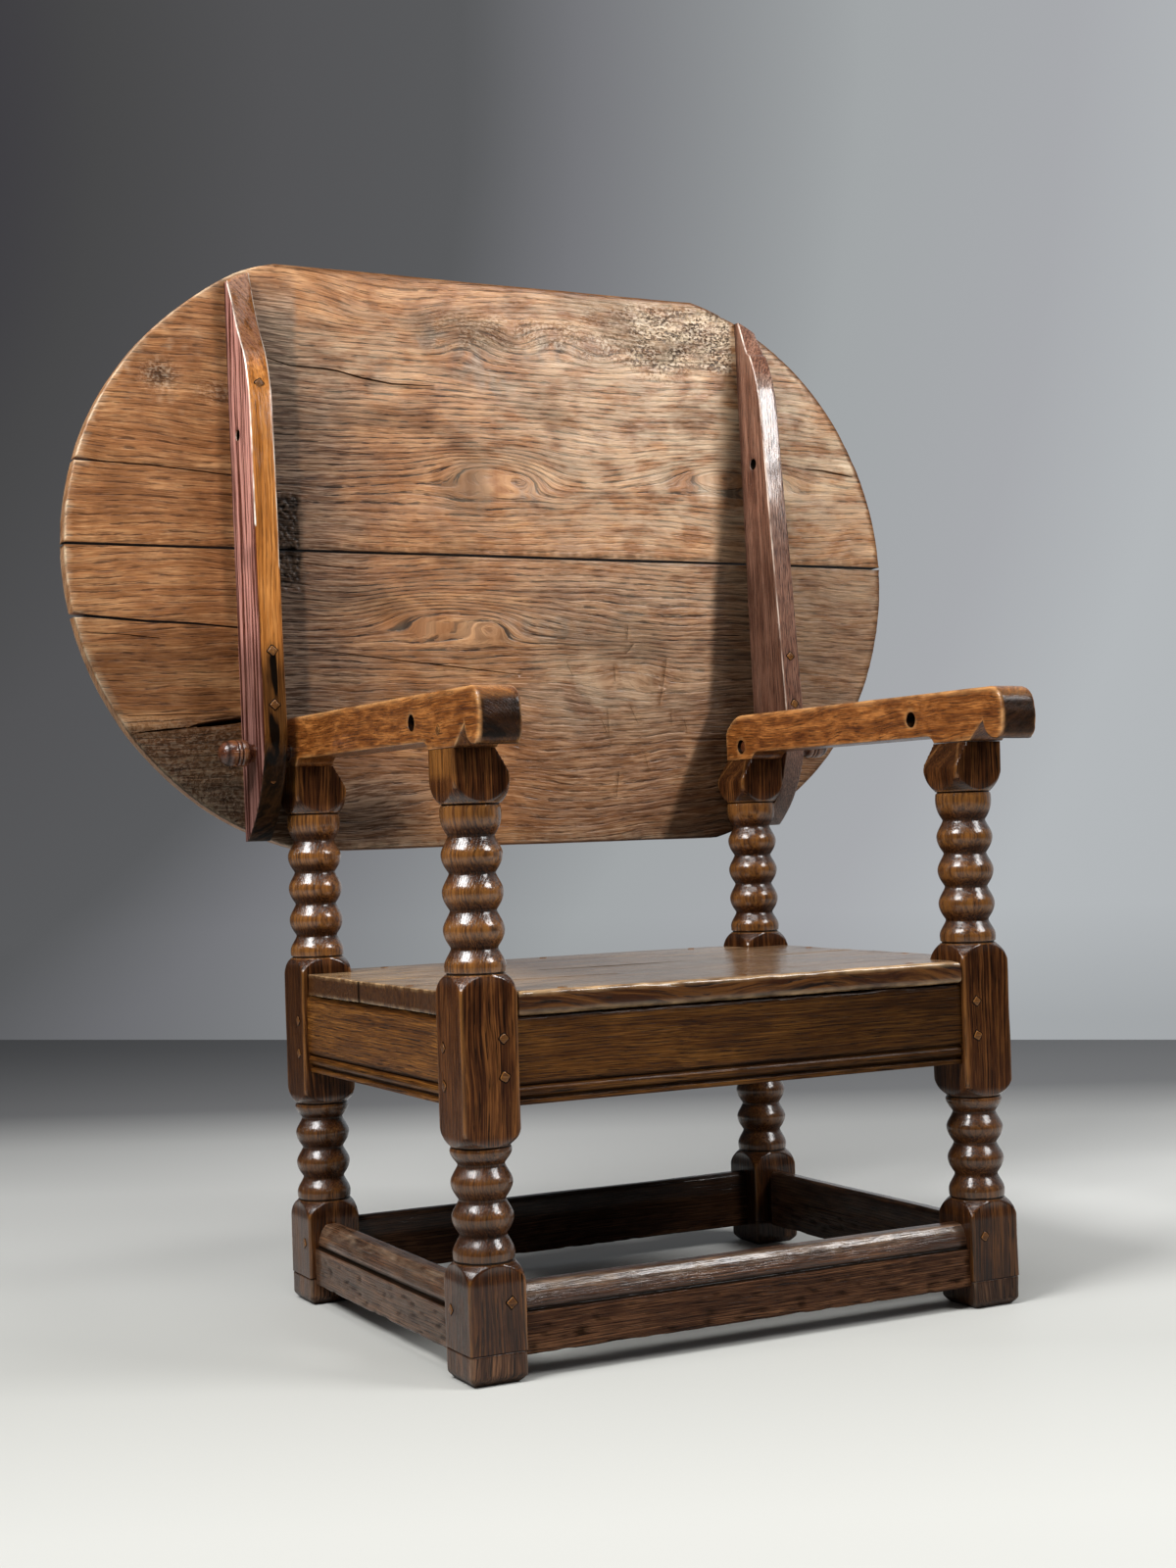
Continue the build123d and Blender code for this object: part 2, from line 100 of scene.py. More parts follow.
def sampled(corners, step):  # extra points along the straight stretches
    out = []
    for start, end in zip(corners, corners[1:] + corners[:1]):
        count = max(1, math.ceil(math.dist(start[:2], end[:2]) / step))
        for k in range(count):
            out.append(tuple(a + (b - a) * k / count for a, b in zip(start, end)))
    return out


def turnedLeft(outline):  # the same points, counter-clockwise
    area = sum(a[0] * b[1] - b[0] * a[1] for a, b in zip(outline, outline[1:] + outline[:1]))
    return outline[::-1] if area < 0 else outline


def leaned(spot):  # from the upright top to the row frame
    x, y, z = spot
    sine, cosine = math.sin(pivot["lean"]), math.cos(pivot["lean"])
    return (x, pivot["y"] + y * cosine + z * sine, pivot["z"] - y * sine + z * cosine)


def facePoints(rim, holeRims, grooves, step, dense):
    # Points of one face: the rim, the holes' rims, the grooves, and a grid between them.
    spots = [tuple(p) for p in rim]
    edges = [(k, (k + 1) % len(rim)) for k in range(len(rim))]
    roles = [("rim", k) for k in range(len(rim))]
    grooveStep = 4.0
    for number, holeRim in enumerate(holeRims):
        first, count = len(spots), len(holeRim)
        spots += holeRim
        edges += [(first + k, first + (k + 1) % count) for k in range(count)]
        roles += [("hole", number, k) for k in range(count)]
    for groove in grooves:
        line = sampledLine(groove["line"], grooveStep)
        ids = []
        for k, (u, v) in enumerate(line):
            t = k / (len(line) - 1)
            size = max(0.0, math.sin(math.pi * t)) ** 0.5  # thin at both ends
            u0, v0 = line[max(0, k - 1)]
            u1, v1 = line[min(len(line) - 1, k + 1)]
            long = math.hypot(u1 - u0, v1 - v0)
            du, dv = -(v1 - v0) / long, (u1 - u0) / long
            half = groove["width"] / 2 * size
            if half < 0.05:
                ids.append((len(spots),) * 3)
                spots.append((u, v))
                roles.append(("plain",))
                continue
            ids.append((len(spots), len(spots) + 1, len(spots) + 2))
            spots += [(u + du * half, v + dv * half), (u, v), (u - du * half, v - dv * half)]
            roles += [("lip", groove), ("bed", groove, size), ("lip", groove)]
        for near, far in zip(ids, ids[1:]):
            edges += [pair for pair in zip(near, far) if pair[0] != pair[1]]
    fixed = kdtree.KDTree(len(spots))
    for k, (u, v) in enumerate(spots):
        fixed.insert((u, v, 0), k)
    fixed.balance()
    low = [min(p[i] for p in rim) for i in (0, 1)]
    high = [max(p[i] for p in rim) for i in (0, 1)]
    grids = [(low, high, step, None)] + [((a, b), (c, d), fine, "dense") for a, b, c, d, fine in dense]
    for (u0, v0), (u1, v1), gap, kind in grids:
        for i in range(int((u1 - u0) / gap) + 1):
            for j in range(int((v1 - v0) / gap) + 1):
                u = u0 + (i + 0.5 * (j % 2) + 0.25) * gap
                v = v0 + (j + 0.5) * gap
                covered = any(a < u < c and b < v < d for a, b, c, d, _ in dense)
                if (kind is None and covered) or fixed.find((u, v, 0))[2] < 0.55 * min(gap, step):
                    continue
                spots.append((u, v))
                roles.append(("plain",))
    return spots, edges, roles


def sampledLine(line, step):
    out = []
    for start, end in zip(line, line[1:]):
        count = max(1, round(math.dist(start, end) / step))
        out += [tuple(a + (b - a) * k / count for a, b in zip(start, end)) for k in range(count)]
    return out + [line[-1]]


def bands(rings):  # faces between rings of points
    count = len(rings[0])
    return [(lower[k], lower[(k + 1) % count], upper[(k + 1) % count], upper[k])
            for lower, upper in zip(rings, rings[1:]) for k in range(count)]


def plank(outline, span, turn, edge=2.0, step=5.0, rowStep=5.0, holes=(), grooves=(), dense=()):
    # An outline with a thickness, eased edges, holes and grooves. The outline's points are (u, v) or
    # (u, v, edge radius), counter-clockwise; span is the low and high w; turn takes u, v, w to x, y, z.
    ring = np.array([p[:2] for p in outline], float)
    radii = np.array([p[2] if len(p) > 2 else edge for p in outline], float)
    # An edge eased by less than this lies inside a joint or a split, and is dark.
    seams = [fade(1.0, 0.9, p[2]) if len(p) > 2 else 0.0 for p in outline]
    before = ring - np.roll(ring, 1, axis=0)
    after = np.roll(ring, -1, axis=0) - ring
    before /= np.linalg.norm(before, axis=1)[:, None]
    after /= np.linalg.norm(after, axis=1)[:, None]
    first = np.stack([before[:, 1], -before[:, 0]], axis=1)
    second = np.stack([after[:, 1], -after[:, 0]], axis=1)
    sharpest = 0.35  # keeps the mitre of a sharp corner short
    outward = (first + second) / np.maximum(1 + (first * second).sum(axis=1), sharpest)[:, None]
    thick = span[1] - span[0]
    arcSteps, edgeWearAndGlint = 3, 0.45
    profile = []  # of each ring: inset and depth against the edge radius, share of the thickness, and paleness, worn and partly a painted highlight
    for k in range(arcSteps + 1):
        angle = math.pi / 2 * k / arcSteps
        wear = 1.0 if 0 < k < arcSteps else edgeWearAndGlint
        profile.append((1 - math.sin(angle), 1 - math.cos(angle), 0.0, wear))
    rows = max(1, math.ceil(thick / rowStep))
    middle = [(0.0, 1 - 2 * j / rows, j / rows, 0.0) for j in range(1, rows)]
    back = [(inset, -depth, 1.0, wear) for inset, depth, _, wear in reversed(profile)]
    points, marks, rings = [], [], []
    for inset, depth, share, wear in profile + middle + back:
        flat = ring - outward * (radii * inset)[:, None]
        level = span[0] + thick * share + radii * depth
        rings.append(list(range(len(points), len(points) + len(ring))))
        points += [(u, v, w) for (u, v), w in zip(flat, level)]
        # Eased edges are paler, worn and partly a painted highlight along the arris; seams are dark.
        marks += [[wear * fade(0.9, 2.0, r), 0.95 * seam * (1.0 if wear < edgeWearAndGlint else 0.4), 0.0]
                  for r, seam in zip(radii, seams)]
    faces = bands(rings)
    tubes = []
    sides, boreSteps = 36, 6
    around = [math.tau * k / sides for k in range(sides)]
    for hole in holes:
        (u, v), radius, lip = hole["at"], hole["radius"], hole["lip"]
        shape = [(lip, 0.0, 0.6), (lip * 0.3, lip * 0.35, 0.4), (0.0, lip, 0.0)]
        tube = [(grow, span[0] + depth, wear) for grow, depth, wear in shape]
        tube += [(0.0, span[0] + thick * j / boreSteps, 0.0) for j in range(1, boreSteps)]
        tube += [(grow, span[1] - depth, wear) for grow, depth, wear in reversed(shape)]
        wobble = [1 + 0.05 * bumps(math.cos(t), math.sin(t), u) for t in around]
        loops = []
        for grow, w, wear in tube:
            loops.append(list(range(len(points), len(points) + sides)))
            for t, factor in zip(around, wobble):
                reach = (radius + grow) * factor
                points.append((u + reach * math.cos(t), v + reach * math.sin(t), w))
                # The lip is worn pale; the bore is painted near black, a painted shade inside the hole.
                marks.append([wear, 0.2 if wear else 1.0, 0.0])
        faces += bands(loops)
        tubes.append(loops)
    for side, rimRing, level in ((0, rings[0], span[0]), (1, rings[-1], span[1])):
        rim = [points[k][:2] for k in rimRing]
        loops = [tube[0] if side == 0 else tube[-1] for tube in tubes]
        holeRims = [[points[k][:2] for k in loop] for loop in loops]
        mine = [groove for groove in grooves if groove.get("side", 0) == side]
        spots, edges, roles = facePoints(rim, holeRims, mine, step, dense if side == 0 else ())
        result = delaunay_2d_cdt([Vector(s) for s in spots], edges, [], 1, 1e-4)
        places, origins = result[0], result[3]
        made = {}

        def vertex(k):
            if k in made:
                return made[k]
            came = [roles[c] for c in origins[k]]
            fixed = [role for role in came if role[0] in ("rim", "hole")]
            role = (fixed + came + [("plain",)])[0]
            if role[0] == "rim":
                made[k] = rimRing[role[1]]
            elif role[0] == "hole":
                made[k] = loops[role[1]][role[2]]
            else:
                depth, dark = 0.0, 0.0
                if role[0] == "bed":
                    depth, dark = role[1]["depth"] * role[2], role[1].get("dark", 1.0)
                elif role[0] == "lip":
                    dark = 0.25 * role[1].get("dark", 1.0)
                made[k] = len(points)
                points.append((places[k][0], places[k][1], level + (depth if side == 0 else -depth)))
                marks.append([0.0, dark, 0.0])
            return made[k]

        for triangle in result[2]:
            u = sum(places[k][0] for k in triangle) / len(triangle)
            v = sum(places[k][1] for k in triangle) / len(triangle)
            if any(math.dist((u, v), h["at"]) < h["radius"] for h in holes):
                continue
            faces.append(tuple(vertex(k) for k in triangle))
    return [turn(*p) for p in points], faces, marks


def squareAngles(perSide):  # round a square, closer together at its corners
    half = perSide // 2
    spots = [math.sin(math.pi / 2 * k / half) for k in range(-half, half)]
    return [math.atan(0.35 * t + 0.65 * k / half) + quarter * math.pi / 2
            for quarter in range(4) for k, t in zip(range(-half, half), spots)]


def squareRadius(angle, half, corner):  # reach of a square with rounded corners
    c, s = abs(math.cos(angle)), abs(math.sin(angle))
    c, s = max(c, s), min(c, s)
    flat = half - corner
    if s / c <= flat / half:
        return half / c
    along = flat * (c + s)
    return along + math.sqrt(max(along * along - 2 * flat * flat + corner * corner, 0.0))


def ringed(rows, angles, radiusAt, spotAt, markAt):
    # Rings of points, one to a row, with a flat cap at each end. A row starts with its height.
    points, marks = [], []
    for row in rows:
        for angle in angles:
            radius = radiusAt(angle, row)
            points.append(spotAt(radius * math.cos(angle), radius * math.sin(angle), row[0]))
            marks.append(markAt(angle, row, radius))
    count = len(angles)
    rings = [range(i * count, (i + 1) * count) for i in range(len(rows))]
    faces = bands(rings)
    for k in (0, -1):
        middle = len(points)
        points.append(spotAt(0, 0, rows[k][0]))
        marks.append([0, 0, 0])
        faces += [(a, b, middle) for a, b in zip(rings[k], [*rings[k][1:], rings[k][0]])]
    return points, faces, marks


def heartwood(spot, lie):
    # Along the grain, out from the heart of the tree, and across, in mm.
    axes, seed = lie["axes"], lie["seed"]
    a = spot[axes[0]]
    b = spot[axes[1]] - lie["heart"][0]
    c = spot[axes[2]] - lie["heart"][1]
    sway = bumps(a / 260 + seed * 7.1, b / 75, c / 75)
    ripple = bumps(a / 60 + seed * 3.3, b / 28, c / 28)
    out = math.hypot(b, c) + lie.get("sway", 9.0) * sway + lie.get("ripple", 1.6) * ripple
    for (a0, b0, wide, high, lift) in lie.get("swirls", ()):
        out += lift * math.exp(-((a - a0) / wide) ** 2 - ((spot[axes[1]] - b0) / high) ** 2)
    return (a + seed * 431.0, out, c + seed * 97.0)


def makePiece(name, shape, spec):
    # spec: lie (how the tree lies in it), finish, body, nodes, slot (not used), uneven in mm, the angle of
    # an edge that stays sharp, and, where the piece has them, relief, age and place.
    points, faces, marks = shape
    place = spec.get("place", lambda spot: spot)
    lie = spec["lie"]
    mesh = bpy.data.meshes.new(name)
    mesh.from_pydata(points, [], faces)
    clean = bmesh.new()
    clean.from_mesh(mesh)
    bmesh.ops.recalc_face_normals(clean, faces=clean.faces)
    clean.to_mesh(mesh)
    clean.free()
    mesh.update()
    normals = [v.normal.copy() for v in mesh.vertices]
    grain, moved, ages = [], [], []
    seed = lie["seed"] * 11.7
    uneven = spec.get("uneven", 0.4)
    for k, vertex in enumerate(mesh.vertices):
        spot = vertex.co.copy()
        grain.append(heartwood(spot, lie))
        along, b, c = grain[k][0], spot[lie["axes"][1]], spot[lie["axes"][2]]
        wave = bumps(along / 170, b / 45, c / 45 + seed)
        small = bumps(along / 30, b / 11 + seed, c / 11)
        lift = uneven * (wave + 0.3 * small - 0.35)
        if "relief" in spec:
            extra, wear, dark, tone = spec["relief"](spot, normals[k])
            lift += extra
            wornAndGlint = 0.0 if wear < 0 else max(marks[k][0], wear)
            marks[k] = [wornAndGlint, max(marks[k][1], dark), max(marks[k][2], tone)]
        if "age" in spec:
            ages.append(spec["age"](spot))
        moved.append(Vector(place(spot + normals[k] * min(lift, 0.0))) * mm)  # worn away, so never outwards
    mesh.vertices.foreach_set("co", [c for spot in moved for c in spot])
    for label, kind, key, rows in (("age", "FLOAT_VECTOR", "vector", ages),
                                   ("grain", "FLOAT_VECTOR", "vector", grain),
                                   ("marks", "FLOAT_COLOR", "color", [(*mark, 1.0) for mark in marks])):
        if rows:
            layer = mesh.attributes.new(label, kind, "POINT")
            layer.data.foreach_set(key, [value for row in rows for value in row])
    mesh.polygons.foreach_set("use_smooth", [True] * len(mesh.polygons))
    mesh.set_sharp_from_angle(angle=math.radians(spec.get("sharp", 50)))
    mesh.update()
    piece = bpy.data.objects.new(name, mesh)
    bpy.context.scene.collection.objects.link(piece)
    mesh.materials.append(spec["finish"])
    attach(piece, spec["body"])
    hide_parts(*spec["nodes"])


def joined(shapes):  # several closed shapes as one
    points, faces, marks = [], [], []
    for somePoints, someFaces, someMarks in shapes:
        start = len(points)
        points += somePoints
        marks += someMarks
        faces += [tuple(start + k for k in face) for face in someFaces]
    return points, faces, marks


def addNode(tree, name, kind, settings=None, inputs=None, stops=None):
    # An input is a value, the name of the node that feeds it, or that name with the output's.
    node = tree.nodes.new("ShaderNode" + kind)
    node.name = name
    for key, value in (settings or {}).items():
        setattr(node, key, value)
    for key, value in (inputs or {}).items():
        named = isinstance(value, tuple) and isinstance(value[0], str)
        source, output = value if named else (value, 0)
        if isinstance(source, str):
            tree.links.new(tree.nodes[source].outputs[output], node.inputs[key])
        else:
            node.inputs[key].default_value = source
    if stops:
        elements = node.color_ramp.elements
        while len(elements) < len(stops):
            elements.new(0.5)
        for element, (position, colour) in zip(elements, stops):
            element.position = position
            element.color = hexColour(colour) if isinstance(colour, str) else (colour, colour, colour, 1)


times, plus, minus = ({"operation": kind} for kind in ("MULTIPLY", "ADD", "SUBTRACT"))
heldTimes, heldMinus = ({**kind, "use_clamp": True} for kind in (times, minus))  # kept between 0 and 1


def oak(name, spec):
    # Old oak under wax: open pores in bands along the yearly rings, darker where marked, with dirt where
    # hands don't reach and with painted shade.
    material = bpy.data.materials.new(name)
    material.use_nodes = True
    tree = material.node_tree
    tree.nodes.clear()
    tinted, pitted = "tint" in spec, "pitted" in spec
    addNode(tree, "grain", "Attribute", {"attribute_name": "grain"})
    addNode(tree, "axes", "SeparateXYZ", {}, {0: ("grain", "Vector")})
    addNode(tree, "marks", "Attribute", {"attribute_name": "marks"})
    addNode(tree, "mark", "SeparateColor", {}, {0: ("marks", "Color")})  # worn and painted highlights, dirt and painted shade, and tinted or dull
    noises = {  # length along the grain and width across it in mm, detail, roughness, distortion
        "waver": (90, 2.6 * spec["ring"], 2, 0.5, 0), "pore": (*spec["pore"], 2, 0.6, 0),
        "fine": (*spec["fine"], 3, 0.65, 0), "streak": (*spec["streak"], 4, 0.6, 0),
        "mottle": (*spec["mottle"], 4, 0.6, 0.4), "patch": (*spec["patch"], 3, 0.5, 0),
        "scrape": (9, 2.2, 3, 0.5, 0), "tool": (34, 12, 2, 0.5, 0),
    }
    if pitted:
        noises["crumb"] = (*spec["crumb"], 2, 0.6, 0)
    for label, (long, wide, detail, roughness, distortion) in noises.items():
        addNode(tree, label + "Size", "VectorMath", times,
                {0: ("grain", "Vector"), 1: (1 / long, 1 / wide, 1 / wide)})
        addNode(tree, label, "TexNoise", {}, {"Vector": label + "Size", "Scale": 1.0, "Detail": detail,
                                              "Roughness": roughness, "Distortion": distortion})

    line, spread = spec["line"], spec["spread"]
    nodes = [
        ("sway", "Math", times, {0: "waver", 1: spec["ring"] * spec["wobble"]}),
        ("fromHeart", "Math", plus, {0: ("axes", "Y"), 1: "sway"}),
        ("ring", "Math", {"operation": "DIVIDE"}, {0: "fromHeart", 1: spec["ring"]}),
        ("ringPart", "Math", {"operation": "FRACT"}, {0: "ring"}),
        ("band", "ValToRGB", {}, {0: "ringPart"},
         [(0, 1), (0.35 * line, 0.85), (line, 0.1), (0.94, 0), (1, 1)]),
        ("year", "TexNoise", {"noise_dimensions": "1D"}, {"W": "ring", "Scale": 0.37, "Detail": 2}),
        ("openPore", "ValToRGB", {}, {0: "pore"}, [(0.51, 0), (0.57, 1)]),
        ("bandPart", "Math", times, {0: "band", 1: 0.7}),
        ("poreBand", "Math", plus, {0: "bandPart", 1: 0.3}),
        ("pores", "Math", times, {0: "openPore", 1: "poreBand"}),
        ("porePart", "Math", times, {0: "openPore", 1: 0.6}),
        ("breaks", "Math", plus, {0: "porePart", 1: 0.4}),
        ("rings", "Math", times, {0: "band", 1: "breaks"}),
        *((label + "Tone", "Math", times, {0: label, 1: share})
          for label, share in zip(("fine", "streak", "mottle", "year"), spec["shares"])),
        ("twoTones", "Math", plus, {0: "fineTone", 1: "streakTone"}),
        ("threeTones", "Math", plus, {0: "twoTones", 1: "mottleTone"}),
        ("tone", "Math", plus, {0: "threeTones", 1: "yearTone"}),
        ("wood", "ValToRGB", {}, {0: "tone"},
         list(zip((0.5 - spread, 0.5, 0.5 + spread), spec["colours"]))),
        ("patches", "ValToRGB", {}, {0: "patch"}, [(0.38, 0.15), (0.6, 1)]),
        ("rubbing", "Math", times, {0: "patches", 1: spec["wornAndGlint"]}),
        ("wornAndGlint", "Math", times, {0: ("mark", "Red"), 1: "rubbing"}),
        ("offStreak", "Math", minus, {0: "streak", 1: 0.5}),
        ("halfStreak", "Math", times, {0: "offStreak", 1: 0.5}),
        ("dirtAndShadeEdge", "Math", times, {0: ("mark", "Green"), 1: 6.0}),
        ("dirtAndShadeLimit", "Math", {"operation": "MINIMUM"}, {0: "dirtAndShadeEdge", 1: 1.0}),
        ("dirtAndShadeSum", "Math", plus, {0: ("mark", "Green"), 1: "halfStreak"}),
        ("soot", "Math", heldTimes, {0: "dirtAndShadeSum", 1: "dirtAndShadeLimit"}),
    ]
    coats = []  # each goes over the last: its name, how much of it, and its colour
    if tinted:  # a second colour of the same wood, where the third mark is set
        share = spec["tintStreak"]
        nodes += [
            ("tintStreak", "Math", times, {0: "streak", 1: share}),
            ("tintFine", "Math", times, {0: "fine", 1: 1 - share}),
            ("tintTone", "Math", plus, {0: "tintStreak", 1: "tintFine"}),
            ("tint", "ValToRGB", {}, {0: "tintTone"}, list(zip((0.45, 0.56), spec["tint"]))),
        ]
        coats.append(("tinted", ("mark", "Blue"), "tint"))
    ringSource = "rings"
    if pitted:  # the underside of the top: how strongly the rings show, how eaten the face is, and its pale ridges between the pits, partly a painted glint
        darkPit, paleRidgeAndGlint = (hexColour(code) for code in spec["pitted"])
        nodes += [
            ("ages", "Attribute", {"attribute_name": "age"}),
            ("age", "SeparateXYZ", {}, {0: ("ages", "Vector")}),
            ("agedRings", "Math", times, {0: "rings", 1: ("age", "X")}),
            ("pitShape", "ValToRGB", {}, {0: "crumb"}, [(0.41, 1), (0.48, 0)]),
            ("pit", "Math", heldTimes, {0: "pitShape", 1: ("age", "Y")}),
            ("ridgeShape", "ValToRGB", {}, {0: "crumb"}, [(0.5, 0), (0.6, 1)]),
            ("ridge", "Math", heldTimes, {0: "ridgeShape", 1: ("age", "Y")}),
            ("ridgeShare", "Math", times, {0: "ridge", 1: 0.65}),
            ("pitShare", "Math", times, {0: "pit", 1: 0.85}),
        ]
        coats.append(("ridged", "ridgeShare", paleRidgeAndGlint))
        ringSource = "agedRings"
    nodes += [
        ("ringShare", "Math", times, {0: ringSource, 1: spec["rings"]}),
        ("poreShare", "Math", times, {0: "pores", 1: spec["pores"]}),
    ]
    # The worn colour paints both wear and painted highlights; the dark colour paints both dirt and painted
    # shade.
    coats += [("ringed", "ringShare", hexColour(spec["poreColour"])),
              ("pored", "poreShare", hexColour(spec["poreColour"])),
              ("worn", "wornAndGlint", hexColour(spec["worn"])), ("dirtyAndShaded", "soot", hexColour(spec["grime"]))]
    if pitted:
        coats.append(("eaten", "pitShare", darkPit))
    for row in nodes:
        addNode(tree, *row)
    colour = "wood"
    for label, share, above in coats:
        addNode(tree, label, "Mix", {"data_type": "RGBA"}, {0: share, 6: colour, 7: above})
        colour = (label, 2)

    sums = {  # gloss and height: the first term, then each next one, its factor and its sign
        "rough": (("mottle", 0.3), [(None, spec["rough"] - 0.15, plus), ("pores", 0.18, plus),
                                    ("soot", 0.2, plus), ("wornAndGlint", 0.2, heldMinus)]),
        "height": (("scrape", 0.5), [("pores", 0.7, minus), ("fine", 0.5, plus),
                                     ("band", spec["furrow"], minus), ("tool", spec["tooled"], plus),
                                     *[("pit", 2.5, minus)] * pitted]),
    }
    for label, ((first, factor), terms) in sums.items():
        addNode(tree, label + "0", "Math", times, {0: first, 1: factor})
        for k, (source, factor, sign) in enumerate(terms, 1):
            if source:
                addNode(tree, f"{label}Term{k}", "Math", times, {0: source, 1: factor})
            addNode(tree, f"{label}{k}", "Math", sign,
                    {0: f"{label}{k - 1}", 1: f"{label}Term{k}" if source else factor})
    roughness, height = "rough4", "height5" if pitted else "height4"
    nodes = [
        ("bump", "Bump", {}, {"Height": height, "Strength": 1.0, "Distance": spec["depth"] * mm}),
        ("waxBump", "Bump", {}, {"Height": height, "Strength": 1.0, "Distance": 0.38 * spec["depth"] * mm}),
        ("dirtAndShadeDull", "Math", times, {0: "soot", 1: 0.75}),
        ("clean", "Math", minus, {0: 1.0, 1: "dirtAndShadeDull"}),
    ]
    bright = "clean"
    if not tinted:  # there the third mark is where the wax has gone dull
        nodes += [
            ("dullPart", "Math", times, {0: ("mark", "Blue"), 1: 0.85}),
            ("polished", "Math", heldMinus, {0: 1.0, 1: "dullPart"}),
            ("bright", "Math", times, {0: "clean", 1: "polished"}),
        ]
        bright = "bright"
    nodes += [
        ("waxWeight", "Math", times, {0: bright, 1: spec["coat"]}),
        ("gloss", "Math", times, {0: bright, 1: spec["shine"]}),
        ("smoothing", "Math", times, {0: "wornAndGlint", 1: 0.06}),
        ("waxRough", "Math", heldMinus, {0: spec["coatRough"], 1: "smoothing"}),
        ("shader", "BsdfPrincipled", {}, {
            "Base Color": colour, "Roughness": roughness, "Normal": "bump", "IOR": 1.45, "Coat IOR": 1.5,
            "Coat Weight": "waxWeight", "Coat Normal": "waxBump", "Coat Roughness": "waxRough",
            "Specular IOR Level": "gloss"}),
        ("output", "OutputMaterial", {}, {"Surface": "shader"}),
    ]
    for row in nodes:
        addNode(tree, *row)
    return material


# Dark oak under many coats of wax: nearly black in the pores, brown on the crests, and deeply glossy.
# ring: width of a year's growth; pore, fine, streak, mottle, patch, crumb: length along the grain and
# width across it; all in mm. Real pores are 0.3 mm wide, and are drawn 1.1 mm wide so that they show.
waxedOak = {
    "ring": 3.2, "wobble": 0.8, "line": 0.4, "pore": (36, 1.1), "fine": (80, 1.2), "streak": (260, 3.2),
    "mottle": (110, 50), "patch": (40, 16), "shares": (0.46, 0.2, 0.22, 0.12), "spread": 0.11,
    "colours": ("#200f07", "#452613", "#784b26"), "poreColour": "#0e0602", "rings": 0.35, "pores": 0.9,
    "worn": "#a06a32", "wornAndGlint": 0.55, "grime": "#0a0502", "tintStreak": 0.35, "rough": 0.28, "shine": 0.2,
    "coat": 1.0, "coatRough": 0.08, "depth": 0.3, "furrow": 0.3, "tooled": 0.6,
}
